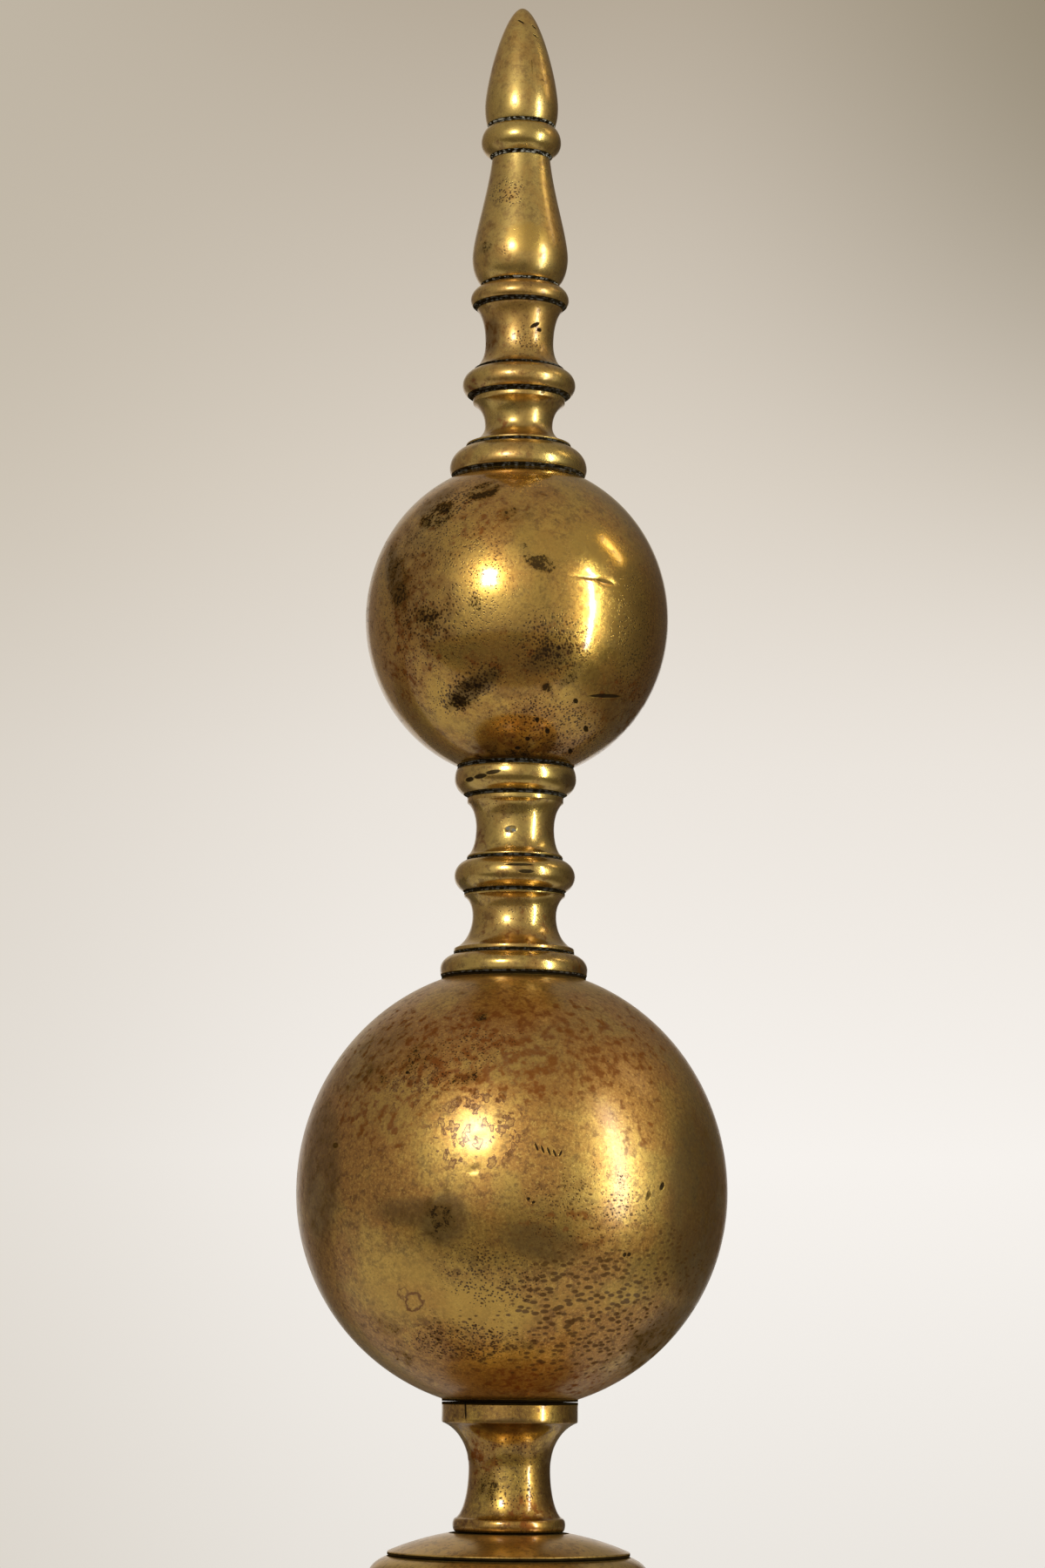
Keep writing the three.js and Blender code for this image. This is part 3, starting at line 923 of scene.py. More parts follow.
class Lathe:
    """Turns outlines into meshes with one Geometry Nodes tree."""

    INPUTS = (
        ("Facets", "NodeSocketInt"),
        ("Place", "NodeSocketVector"),
        ("Waviness", "NodeSocketFloat"),
        ("Wave Size", "NodeSocketFloat"),
        ("Wave Seed", "NodeSocketFloat"),
        ("Thread Pitch", "NodeSocketFloat"),
        ("Thread Depth", "NodeSocketFloat"),
        ("Thread Top", "NodeSocketFloat"),
        ("Finish", "NodeSocketMaterial"),
    )

    def __init__(self) -> None:
        """Builds the tree."""
        self.tree = bpy.data.node_groups.new("lathe", "GeometryNodeTree")
        interface = self.tree.interface
        interface.new_socket("Outline", in_out="INPUT", socket_type="NodeSocketGeometry")
        self.keys = {
            name: interface.new_socket(name, in_out="INPUT", socket_type=kind).identifier
            for name, kind in self.INPUTS
        }
        interface.new_socket("Turned", in_out="OUTPUT", socket_type="NodeSocketGeometry")
        self._write(Nodes(self.tree))

    @staticmethod
    def _write(nodes: Nodes) -> None:
        """Writes the tree: a grid is wrapped round Z, one column for each point of the outline."""
        entry = nodes.add("NodeGroupInput").socket.node.outputs
        given = {socket.name: Value(nodes, socket) for socket in entry if socket.name}
        outline = given["Outline"]
        points = nodes.add("GeometryNodeAttributeDomainSize", {"component": "MESH"}, {"Geometry": outline})
        sizes = {"Vertices X": given["Facets"] + 1.0, "Vertices Y": points + 1.0}
        grid = nodes.add("GeometryNodeMeshGrid", {}, {"Size X": 1.0, "Size Y": 1.0, **sizes}, "Mesh")
        index = nodes.add("GeometryNodeInputIndex")
        turn = (index / (points + 1.0)).floor() / given["Facets"] * math.tau
        column = (index % (points + 1.0)) % points

        def sampled(kind: str, field_value: Value) -> Value:
            """The outline's value at this column."""
            inputs = {"Geometry": outline, "Value": field_value, "Index": column}
            return nodes.add("GeometryNodeSampleIndex", {"data_type": kind}, inputs)

        spot = sampled("FLOAT_VECTOR", nodes.add("GeometryNodeInputPosition"))
        radius, _, height = nodes.split(spot)
        across, along = turn.cosine(), turn.sine()
        ring = {"X": radius * across, "Y": radius * along, "Z": height}
        round_spot = nodes.add("ShaderNodeCombineXYZ", {}, ring)
        millimetres = nodes.vector("SCALE", round_spot, 1.0 / MM)
        inputs = {"Vector": millimetres, "W": given["Wave Seed"], "Scale": 1.0 / given["Wave Size"]}
        wave = nodes.add("ShaderNodeTexNoise", {"noise_dimensions": "4D"}, inputs)
        sunk = wave * given["Waviness"] * radius.between(6 * MM, 12 * MM)
        phase = height / given["Thread Pitch"] * math.tau - turn
        groove = (0.5 - phase.cosine() * 0.5) * given["Thread Depth"] * (height < given["Thread Top"])
        worn = radius - sunk - groove
        spot = nodes.add("ShaderNodeCombineXYZ", {}, {"X": worn * across, "Y": worn * along, "Z": height})
        spot = nodes.vector("ADD", spot, given["Place"])
        shape = nodes.add("GeometryNodeSetPosition", {}, {"Geometry": grid, "Position": spot})
        soil = nodes.add("GeometryNodeInputNamedAttribute", {"data_type": "FLOAT"}, {"Name": "soil"})
        inputs = {"Geometry": shape, "Name": "soil", "Value": sampled("FLOAT", soil)}
        shape = nodes.add("GeometryNodeStoreNamedAttribute", {"data_type": "FLOAT"}, inputs)
        shape = nodes.add("GeometryNodeMergeByDistance", {}, {"Geometry": shape, "Distance": 1e-6})
        inputs = {"Geometry": shape, "Shade Smooth": True}
        shape = nodes.add("GeometryNodeSetShadeSmooth", {"domain": "FACE"}, inputs)
        sharp = nodes.add("GeometryNodeInputMeshEdgeAngle", {}, {}, "Unsigned Angle") > SHARP_EDGE
        inputs = {"Geometry": shape, "Selection": sharp, "Shade Smooth": False}
        shape = nodes.add("GeometryNodeSetShadeSmooth", {"domain": "EDGE"}, inputs)
        shape = nodes.add("GeometryNodeRealizeInstances", {}, {"Geometry": shape})
        inputs = {"Geometry": shape, "Material": given["Finish"]}
        shape = nodes.add("GeometryNodeSetMaterial", {}, inputs)
        nodes.add("NodeGroupOutput", {}, {0: shape})

    def turn(
        self,
        name: str,
        outer: Sequence[Point],
        inner: Sequence[Point],
        place: Vector,
        finish: bpy.types.Material,
        **settings: float,
    ) -> bpy.types.Object:
        """Turns one piece.

        Args:
            name: the piece's name.
            outer: the outline that shows, from the foot to the head, in millimetres.
            inner: the rest of the outline, from the head back to the foot.
            place: the middle of the piece's foot, in metres.
            finish: the piece's material.
            settings: the tree's other inputs, with _ for a space, in metres.

        Returns:
            The piece.
        """
        closed = [*outer, *inner]
        mesh = bpy.data.meshes.new(name)
        spots = [(r * MM, 0.0, z * MM) for r, z in closed]
        mesh.from_pydata(spots, [(i, i + 1) for i in range(len(spots) - 1)], [])
        mesh.attributes.new("soil", "FLOAT", "POINT").data.foreach_set("value", soiling(closed, outer))
        piece = linked(name, mesh)
        modifier = piece.modifiers.new("lathe", "NODES")
        modifier.node_group = self.tree
        values = {
            "Facets": FACETS,
            "Place": place,
            "Waviness": 0.0,
            "Wave_Size": 30.0,
            "Wave_Seed": 0.0,
            "Thread_Pitch": 1.0,
            "Thread_Depth": 0.0,
            "Thread_Top": 0.0,
            "Finish": finish,
            **settings,
        }
        for key, value in values.items():
            modifier[self.keys[key.replace("_", " ")]] = value
        return baked(piece)


def loft(rings: Sequence[Sequence[Vector]], mesh: bmesh.types.BMesh) -> None:
    """Adds a skin through rings of points, closed at both ends.

    Args:
        rings: rings with the same number of points each.
        mesh: the mesh to add to.
    """
    rows = [[mesh.verts.new(point) for point in ring] for ring in rings]
    count = len(rows[0])
    for lower, upper in zip(rows, rows[1:]):
        for i in range(count):
            after = (i + 1) % count
            mesh.faces.new((lower[i], lower[after], upper[after], upper[i]))
    mesh.faces.new(rows[0][::-1])
    mesh.faces.new(rows[-1])


def solid(name: str, write: Callable[[bmesh.types.BMesh], None]) -> bpy.types.Object:
    """An object from a function that fills a mesh, with its faces turned outwards.

    Args:
        name: the object's name.
        write: fills the mesh.

    Returns:
        The object.
    """
    mesh = bmesh.new()
    write(mesh)
    bmesh.ops.recalc_face_normals(mesh, faces=mesh.faces)
    data = bpy.data.meshes.new(name)
    mesh.to_mesh(data)
    mesh.free()
    return linked(name, data)


def combined(base: bpy.types.Object, others: Iterable[bpy.types.Object], operation: str) -> bpy.types.Object:
    """Joins solids to a base, or cuts them from it.

    Args:
        base: the solid that is kept.
        others: the solids that are used up.
        operation: UNION or DIFFERENCE.

    Returns:
        The base.
    """
    others = list(others)
    for other in others:
        modifier = base.modifiers.new("cut", "BOOLEAN")
        modifier.operation = operation
        modifier.solver = "EXACT"
        modifier.object = other
    baked(base)
    for other in others:
        bpy.data.objects.remove(other)
    return base


def smooth(piece: bpy.types.Object, finish: bpy.types.Material, angle: float = SHARP_EDGE) -> bpy.types.Object:
    """Gives a piece its finish and smooth shading between sharp edges."""
    piece.data.materials.clear()
    piece.data.materials.append(finish)
    piece.data.polygons.foreach_set("material_index", [0] * len(piece.data.polygons))
    piece.data.shade_smooth()
    piece.data.set_sharp_from_angle(angle=angle)
    return piece


# ---- The marks on the front of the stack ----

def marks(kind: MarkKind, *places: tuple[float, ...]) -> list[Mark]:
    """Marks of one kind, each from its x, z, length and width, and then its tilt and strength if it has them."""
    return [Mark(kind, *place) for place in places]


TIP_MARKS = (
    *marks(
        MarkKind.PIT,
        (-0.4, 689.6, 3.2, 0.7, -35), (4.0, 688.0, 2.2, 0.6, -40), (4.6, 684.4, 2.6, 0.6, -30),
        (3.4, 672.4, 0.5, 6.0, 3, 0.6),
    ),
    *marks(MarkKind.STAINED, (-11.6, 609.4, 7.4, 6.1, 20), (-9.0, 616.0, 4.1, 4.1, 0, 0.7)),
    *marks(MarkKind.SPECKLED, (-4.0, 628.0, 16.0, 18.0, 0, 0.7)),
    *marks(MarkKind.REDDENED, (-9.0, 640.0, 9.0, 20.0, 0, 0.7)),
    *marks(MarkKind.RUBBED, (2.0, 612.0, 18.0, 14.0)),
)
FINIAL_MARKS = (
    *marks(MarkKind.PIT, (5.0, 582.9, 4.0, 1.3, 32), (6.6, 581.6, 1.6, 1.4), (7.9, 559.3, 1.6, 0.9, 20, 0.7)),
    *marks(MarkKind.STAINED, (-8.0, 590.0, 8.1, 5.4, 0, 0.6)),
    *marks(MarkKind.SPECKLED, (2.0, 578.0, 16.0, 16.0, 0, 0.6)),
    *marks(MarkKind.DULLED, (-9.0, 580.0, 8.0, 18.0, 0, 0.8)),
    *marks(
        MarkKind.REDDENED,
        (-10.0, 580.0, 12.0, 20.0, 0, 0.9), (-14.0, 562.0, 9.0, 7.0, 0, 0.9), (-2.0, 547.0, 20.0, 12.0, 0, 0.8),
    ),
)
STEM_MARKS = (
    *marks(
        MarkKind.PIT,
        (-15.0, 429.6, 3.0, 1.6), (-11.4, 430.2, 4.6, 1.7, 4), (-7.4, 431.2, 5.2, 1.5, 7),
        (1.6, 401.0, 10.0, 1.0), (3.8, 398.7, 5.4, 1.4), (-1.4, 413.3, 4.4, 2.4, 8, 0.8),
    ),
    *marks(MarkKind.CRUST, (-2.3, 413.6, 1.5, 1.2, 12), (-0.4, 413.0, 1.6, 1.1, -20)),
    *marks(MarkKind.STAINED, (-9.5, 413.0, 6.8, 8.1, 0, 0.6)),
    *marks(
        MarkKind.REDDENED,
        (21.0, 368.0, 5.0, 4.0), (0.0, 378.0, 44.0, 16.0, 0, 0.55), (-12.0, 412.0, 8.0, 16.0, 0, 0.9),
    ),
    *marks(MarkKind.SPECKLED, (0.0, 385.0, 26.0, 12.0, 0, 0.5), (-2.0, 420.0, 26.0, 14.0, 0, 0.4)),
    # Painted shade at the right edges of the collars next to the balls.
    *marks(MarkKind.DULLED, (17.0, 430.0, 7.0, 6.0, 0, 0.9), (21.0, 367.0, 6.0, 5.0, 0, 1.0)),
    *marks(MarkKind.REDDENED, (6.0, 384.0, 12.0, 10.0, 0, 0.7)),
)
UPPER_BALL_MARKS = (
    *marks(
        MarkKind.RUBBED,
        (8.0, 500.0, 30.0, 16.0, -30, 0.6), (24.0, 503.0, 22.0, 22.0, 0, 0.8),
        (-24.0, 452.0, 12.0, 26.0, 25, 0.7), (20.0, 446.0, 26.0, 10.0, 10, 0.6),
        (36.0, 480.0, 18.0, 50.0, 0, 0.9),
    ),
    *marks(
        MarkKind.REDDENED,
        (-33.0, 476.0, 28.0, 64.0, 0, 0.9), (-14.0, 510.0, 56.0, 26.0, 20, 0.7),
        (2.0, 437.0, 52.0, 20.0, 0, 1.0), (34.0, 452.0, 34.0, 36.0, -40, 0.8),
        (2.0, 466.0, 60.0, 30.0, 10, 0.7),
    ),
    # Painted shade along the left rim, the lower right rim and across the bottom, and brown tarnish round the
    # stains.
    *marks(
        MarkKind.DULLED,
        (-40.0, 494.0, 8.0, 34.0, 8, 0.9), (-27.0, 519.0, 26.0, 9.0, 40, 0.8),
        (-13.0, 456.0, 26.0, 9.0, 26, 0.9), (10.0, 464.0, 26.0, 10.0, 22, 0.8),
        (35.0, 450.0, 22.0, 20.0, -40, 0.6), (0.0, 438.0, 46.0, 18.0, 0, 0.75),
        (-30.0, 490.0, 34.0, 70.0, 10, 0.6),
    ),
    *marks(
        MarkKind.SPECKLED,
        (-26.0, 486.0, 66.0, 90.0, 0, 0.6), (-28.0, 477.0, 26.0, 20.0, -25, 0.9),
        (-15.0, 456.0, 36.0, 16.0, 25, 0.9), (12.0, 444.0, 56.0, 26.0, 0, 0.75),
        (11.0, 468.0, 36.0, 30.0, 20, 0.85), (-22.0, 516.0, 34.0, 14.0, 35, 0.9),
        (38.0, 472.0, 20.0, 66.0, 0, 0.65),
    ),
    *marks(
        MarkKind.STAINED,
        (-26.0, 513.0, 20.2, 12.2, 35), (-11.0, 521.0, 17.6, 10.8, 20), (0.0, 511.6, 16.2, 9.5, 10, 0.8),
        (2.6, 498.0, 5.4, 12.2, 15), (8.2, 494.0, 16.2, 8.8, -10), (-38.5, 493.0, 10.8, 40.5, 5, 0.8),
        (-28.5, 477.5, 14.9, 12.2, -25), (-13.5, 480.0, 8.1, 12.2, 0, 0.8), (-21.4, 465.4, 5.4, 4.6),
        (-16.0, 454.0, 18.9, 10.8, 30), (-7.0, 459.5, 13.5, 5.4, 28, 0.9), (12.5, 466.5, 24.3, 14.9, 25, 0.9),
        (10.0, 455.6, 5.4, 4.1), (18.0, 459.0, 16.2, 4.6, 35, 0.9), (-12.0, 444.0, 16.2, 8.1, 0, 0.6),
        (0.0, 437.0, 40.0, 12.0, 0, 0.8),
    ),
    *marks(
        MarkKind.PIT,
        (28.7, 454.8, 11.5, 1.3, 8), (28.0, 490.3, 6.0, 1.2, -4, 0.8), (19.2, 452.2, 1.7, 1.7),
        (6.8, 446.2, 1.5, 1.5), (10.2, 443.2, 1.7, 1.7), (3.8, 440.9, 1.8, 1.2), (22.7, 444.9, 1.7, 1.7),
        (17.7, 438.6, 1.4, 1.4), (0.6, 438.4, 2.0, 1.0),
    ),
    *marks(MarkKind.DENT, (23.0, 491.0, 17.0, 1.8, -1, 0.35), (29.0, 490.2, 8.0, 3.4, -3, 0.55)),
)
LOWER_BALL_MARKS = (
    *marks(
        MarkKind.RUBBED,
        (-33.0, 265.0, 44.0, 30.0, -14, 0.6), (-8.0, 258.0, 46.0, 24.0, -10, 0.8),
        (-10.0, 310.0, 30.0, 22.0, 0, 0.6), (26.0, 262.0, 50.0, 14.0, 5, 0.5),
    ),
    *marks(
        MarkKind.REDDENED,
        (0.0, 338.0, 130.0, 48.0, 0, 1.0), (34.0, 322.0, 50.0, 32.0, -40, 0.6),
        (-40.0, 322.0, 40.0, 40.0, 40, 0.9), (14.0, 282.0, 44.0, 22.0, 0, 0.7),
        (10.0, 236.0, 60.0, 16.0, 0, 0.9),
    ),
    # Painted shade along both side rims and the lower right rim, and dark tarnish patches on the front.
    *marks(
        MarkKind.DULLED,
        (-60.0, 300.0, 18.0, 70.0, 0, 0.8), (58.0, 290.0, 28.0, 96.0, 0, 0.9),
        (-46.0, 336.0, 50.0, 20.0, 42, 0.6), (-28.0, 287.0, 44.0, 13.0, -5, 0.8),
        (-21.0, 285.0, 22.0, 22.0, 0, 1.0), (10.0, 278.0, 40.0, 16.0, -12, 0.8),
        (50.0, 248.0, 46.0, 28.0, 40, 1.0),
    ),
    *marks(
        MarkKind.DASHED,
        (22.0, 262.0, 76.0, 40.0, 6, 1.0), (46.0, 274.0, 40.0, 34.0, 0, 0.8), (16.0, 244.0, 66.0, 20.0, 0, 0.9),
        (-14.0, 248.0, 40.0, 24.0, -20, 0.7), (24.0, 286.0, 60.0, 30.0, 0, 0.6),
    ),
    *marks(MarkKind.DRIED, (-11.0, 312.0, 38.0, 30.0, 20, 1.0), (-30.0, 326.0, 30.0, 18.0, 30, 0.6)),
    *marks(
        MarkKind.SPECKLED,
        (-6.0, 268.0, 44.0, 24.0, -10, 0.7), (-14.0, 248.0, 50.0, 16.0, 0, 0.8),
        (24.0, 288.0, 60.0, 40.0, 0, 0.5), (-20.0, 335.0, 60.0, 24.0, 20, 0.6),
    ),
    *marks(
        MarkKind.STAINED,
        (-22.0, 284.4, 16.2, 20.2, 0, 0.9), (-24.0, 287.0, 12.2, 16.2, 0, 0.7),
        (17.8, 294.0, 18.9, 16.2, 0, 0.6), (-10.0, 349.5, 7.4, 6.8), (-15.0, 329.0, 16.2, 8.1, 10, 0.8),
        (-30.0, 336.0, 29.7, 12.2, 25, 0.7), (-44.0, 330.0, 21.6, 13.5, 40, 0.7),
        (-38.0, 252.0, 13.5, 9.5, -20, 0.7), (-34.0, 243.0, 12.2, 6.8, -20, 0.7),
        (42.0, 246.0, 40.5, 18.9, 30, 0.7), (30.0, 276.0, 29.7, 13.5, -10, 0.5),
    ),
    *marks(
        MarkKind.RING,
        (-30.0, 259.8, 6.0, 5.4), (-33.5, 262.6, 3.4, 3.4, 0, 0.7), (-17.5, 245.0, 7.0, 6.0, 0, 0.5),
    ),
    *marks(
        MarkKind.PIT,
        (7.6, 307.2, 2.9, 0.8, -66), (9.5, 306.4, 2.9, 0.8, -66), (11.4, 305.9, 2.9, 0.8, -66),
        (13.2, 305.3, 2.6, 0.8, -66), (15.0, 305.3, 2.2, 0.8, 66), (5.2, 291.2, 1.4, 1.1),
        (6.8, 290.2, 1.4, 1.0, 30), (46.9, 296.2, 3.0, 1.4, 70), (42.6, 293.2, 3.4, 1.4, 75, 0.6),
        (35.2, 274.8, 1.5, 1.2, 60), (36.6, 274.9, 1.6, 1.2, 60), (-33.0, 331.0, 1.3, 1.1),
        (-55.6, 308.6, 2.0, 2.0, 0, 0.7),
    ),
    *marks(MarkKind.DENT, (-11.4, 300.0, 4.2, 2.4, 30, 0.4), (-9.6, 309.4, 9.0, 7.0, 0, 0.15)),
)
NECK_MARKS = (
    *marks(MarkKind.PIT, (-14.1, 226.4, 0.7, 6.4, 2)),
    *marks(
        MarkKind.STAINED,
        (-6.0, 220.0, 16.2, 6.8, 0, 0.7), (8.0, 206.0, 10.8, 21.6, 0, 0.6), (-7.0, 202.0, 10.0, 16.0, 0, 0.9),
    ),
    *marks(MarkKind.REDDENED, (-8.0, 212.0, 14.0, 26.0, 0, 0.9), (6.0, 194.0, 20.0, 14.0, 0, 0.9)),
    # Painted shade in a band under the lower ball and along the right edge.
    *marks(MarkKind.DULLED, (0.0, 221.5, 34.0, 7.0, 0, 1.0), (12.0, 206.0, 8.0, 30.0, 0, 0.8)),
    *marks(MarkKind.SPECKLED, (0.0, 206.0, 30.0, 40.0, 0, 0.6)),
)


# ---- The turned stack ----


def stack_axis() -> Vector:
    """The point on the floor under the turned stack's axis, in metres."""
    low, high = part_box("tie_rod")
    return Vector(((low.x + high.x) / 2, (low.y + high.y) / 2, 0.0))


def marked(piece: bpy.types.Object, marks: Iterable[Mark]) -> None:
    """Stores the regions of marks on a piece's front as attributes, and beats its dents in.

    Args:
        piece: the piece, with faces small enough to show the dents.
        marks: the marks of its finish. A dent's strength is its depth in millimetres.
    """
    mesh = piece.data
    count = len(mesh.vertices)
    spots, normals = np.empty(3 * count), np.empty(3 * count)
    mesh.vertices.foreach_get("co", spots)
    mesh.vertex_normals.foreach_get("vector", normals)
    spots, normals = spots.reshape(-1, 3), normals.reshape(-1, 3)
    axis = stack_axis()
    front = (spots[:, 1] < axis.y) & (normals[:, 1] < 0)
    sunk = np.zeros(count)
    regions: dict[MarkKind, Any] = {}
    for mark in marks:
        if mark.kind.value.grain is Grain.OUTLINED:
            continue
        across = (spots[:, 0] - axis.x) / MM - mark.x
        up = spots[:, 2] / MM - mark.z
        turn = math.radians(mark.tilt)
        along = (across * math.cos(turn) + up * math.sin(turn)) / (mark.length / 2)
        aside = (up * math.cos(turn) - across * math.sin(turn)) / (mark.width / 2)
        inside = np.clip(1 - along**2 - aside**2, 0, None) * front
        if mark.kind is MarkKind.DENT:
            sunk += inside**2 * mark.strength * MM
        else:
            region = np.clip(1.3 * inside, 0, 1) * mark.strength
            regions[mark.kind] = np.maximum(regions.get(mark.kind, 0), region)
    mesh.vertices.foreach_set("co", (spots - normals * sunk[:, None]).ravel())
    for kind, region in regions.items():
        mesh.attributes.new(kind.name.lower(), "FLOAT", "POINT").data.foreach_set("value", region)
    mesh.update()


def foot_of(node: str) -> Vector:
    """The middle of a turned CAD node's foot, in metres."""
    spot = stack_axis()
    spot.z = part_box(node)[0].z
    return spot


def height_of(node: str) -> float:
    """The height of a CAD node, in millimetres."""
    low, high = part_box(node)
    return (high.z - low.z) / MM


@dataclass
class TurnedPieces:
    """A run of turned pieces, each in place of its CAD node."""

    lathe: Lathe
    waviness: float = 0.10  # how deep the hand-worn hollows go, in millimetres

    def turn(self, node: str, shape: Any, brass: AgedBrass, facets: int = FACETS) -> bpy.types.Object:
        """Turns one piece and puts it in its CAD node's place.

        Args:
            node: the CAD node.
            shape: what draws its outline.
            brass: its finish.
            facets: how many facets it has.

        Returns:
            The piece.
        """
        outer = filled(shape.outer())
        if isinstance(shape, Ball):
            inner = [(BORE, outer[-1][1]), *shape.inner(), (BORE, 0.0)]
        elif isinstance(shape, Spire):
            depth = SPIRE_BORE + FIT_GAP
            inner = [(0.0, depth), (BORE, depth), (BORE, 0.0)]
        else:
            inner = [(BORE, shape.height), (BORE, 0.0)]
        settings = {
            "Facets": facets,
            "Waviness": self.waviness * MM,
            "Wave_Size": max(12.0, shape.girth * 0.6) if not isinstance(shape, Dome) else 20.0,
            "Wave_Seed": float(len(node)),
        }
        piece = self.lathe.turn(node, outer, inner, foot_of(node), brass.material(), **settings)
        marked(piece, brass.marks)
        return placed(piece, Slot.BRASS, node)

    def turn_all(self, run: str, parts: Iterable[str], brass: AgedBrass) -> None:
        """Turns the named parts of a run, whose nodes have the run's name before theirs."""
        for part in parts:
            self.turn(f"{run}_{part}", getattr(self, part), brass)


@dataclass
class Finial(TurnedPieces):
    """The spire and the turned pieces under it, down to the upper ball."""

    spire: Spire = Spire(height=42, foot=11.2, girth=12.4, at=6.8, shoulder=9.2, nose=5.7)
    bead: Collar = Collar(height=10.2, foot=9.9, head=11, girth=13.5, at=5)
    vase: Vase = Vase(height=44.4, foot=12.6, head=9.8, girth=16.1, at=9.6, shoulder=7, taper=12, flare=1.1)
    top_collar: Collar = Collar(height=7, foot=15.2, head=12.6, girth=16.5, at=2.3)
    upper_spool: Spool = Spool(21.6, foot=15.2, head=14.6, girth=11.4, at=9.3, foot_lip=0.4, head_lip=0.4)
    middle_collar: Collar = Collar(height=8.6, foot=16.6, head=15.4, girth=18.9, at=3.8)
    lower_spool: Spool = Spool(17.6, foot=17.6, head=15.4, girth=11.3, at=7.7, foot_lip=1.3, head_lip=2.2)
    base_collar: Collar = Collar(height=9.3, foot=21.8, head=18.2, girth=22.9, at=2.6)

    def build(self) -> None:
        """Turns and dresses the finial."""
        gloss = {"gloss": 0.26, "sheen": 0.8}
        tip = AgedBrass("brass finial tip", tarnished=0.35, mottle=0.5, crust=0.8, marks=TIP_MARKS, **gloss)
        worn = {"tarnished": 0.45, "mottle": 0.6, "crust": 0.2, "seed": 4.0}
        low = AgedBrass("brass finial", marks=FINIAL_MARKS, **worn, **gloss)
        self.turn_all("finial", ("spire", "bead", "vase"), tip)
        self.turn_all("finial", NECKING, low)


@dataclass
class Stem(TurnedPieces):
    """The turned pieces between the two balls."""

    top_collar: Collar = Collar(height=8.9, foot=16.4, head=19.2, girth=20.1, at=5.3)
    upper_spool: Spool = Spool(21.1, foot=15.8, head=15.9, girth=12.9, at=10.4, foot_lip=1.2, head_lip=2.2)
    middle_collar: Collar = Collar(height=10.3, foot=16.3, head=16.3, girth=19.9, at=5.2)
    lower_spool: Spool = Spool(20.2, foot=19.8, head=16.6, girth=13.8, at=12.6, foot_lip=1.8, head_lip=1.2)
    base_collar: Collar = Collar(height=7.2, foot=23.7, head=20.3, girth=24.2, at=2.5)

    def build(self) -> None:
        """Turns and dresses the stem."""
        brass = AgedBrass("brass stem", tarnished=0.45, mottle=0.65, crust=0.2, seed=9.0, marks=STEM_MARKS)
        self.turn_all("stem", NECKING, brass)


@dataclass
class Balls(TurnedPieces):
    """The two hollow balls."""

    upper: Ball = Ball(girth=50.2, rise=52.6, drop=53, foot=19.2, head=21.8)
    lower: Ball = Ball(girth=70, rise=73.2, drop=69.9, foot=22, head=23.7)

    def build(self) -> None:
        """Turns and dresses the balls."""
        colours = {"clean": (0.70, 0.415, 0.075), "tarnish": (0.40, 0.168, 0.026)}
        small = AgedBrass(
            "brass upper ball",
            **colours,
            tarnished=0.45,
            mottle=0.55,
            speckle=0.45,
            grain=0.45,
            gloss=0.2,
            sheen=0.5,
            crust=0.2,
            seed=14.0,
            marks=UPPER_BALL_MARKS,
        )
        large = AgedBrass(
            "brass lower ball",
            **colours,
            tarnished=0.75,
            mottle=0.7,
            speckle=0.35,
            grain=0.6,
            gloss=0.3,
            sheen=0.85,
            seed=21.0,
            marks=LOWER_BALL_MARKS,
        )
        self.turn("upper_ball", self.upper, small, facets=320)
        self.turn("lower_ball", self.lower, large, facets=360)


@dataclass
class Socle(TurnedPieces):
    """The neck and the round socle under the lower ball."""

    neck: Neck = Neck(height=41, head=22, band=6.4, girth=13.2, at=20, foot=17.1, bead=4.4, swell=1.1)
    dome: Dome = Dome(height=7, crown=18.6, rim=39, edge=1)
    ring: Collar = Collar(height=9.6, foot=44.3, head=38.4, girth=45.3, at=2.8)
    drum: Drum = Drum(42, head=40, girth=33, at=23, plinth=49, lip=2.8, ring_girth=55, ring=11)

    def build(self) -> None:
        """Turns and dresses the neck and the socle."""
        brass = AgedBrass(
            "brass neck",
            clean=(0.74, 0.48, 0.08),
            tarnish=(0.30, 0.14, 0.018),
            tarnished=0.85,
            mottle=0.9,
            speckle=0.45,
            grain=0.5,
            seed=30.0,
            marks=NECK_MARKS,
        )
        self.turn("neck", self.neck, brass, facets=112)
        brass = AgedBrass(
            "brass socle",
            clean=(0.76, 0.49, 0.12),
            tarnished=0.3,
            mottle=0.6,
            gloss=0.3,
            sheen=0.8,
            seed=33.0,
        )
        for part in ("dome", "ring", "drum"):
            self.turn(f"socle_{part}", getattr(self, part), brass, facets=144)


# ---- The arched base ----


def centripetal(points: Sequence[Point], share: float) -> Vector:
    """A point on a centripetal Catmull-Rom curve.

    Args:
        points: the points that the curve passes through.
        share: how far along the curve, from 0 to 1.

    Returns:
        The point.
    """
    known = [Vector(p) for p in points]
    known = [2 * known[0] - known[1], *known, 2 * known[-1] - known[-2]]
    reach = share * (len(points) - 1)
    span = min(int(reach), len(points) - 2)
    t = reach - span
    before, start, end, after = known[span : span + 4]
    gap0, gap1, gap2 = (math.sqrt((b - a).length) for a, b in ((before, start), (start, end), (end, after)))
    lead = ((start - before) / gap0 - (end - before) / (gap0 + gap1) + (end - start) / gap1) * gap1
    trail = ((end - start) / gap1 - (after - start) / (gap1 + gap2) + (after - end) / gap2) * gap1
    return (
        start
        + lead * t
        + (-3 * start + 3 * end - 2 * lead - trail) * t**2
        + (2 * start - 2 * end + lead + trail) * t**3
    )


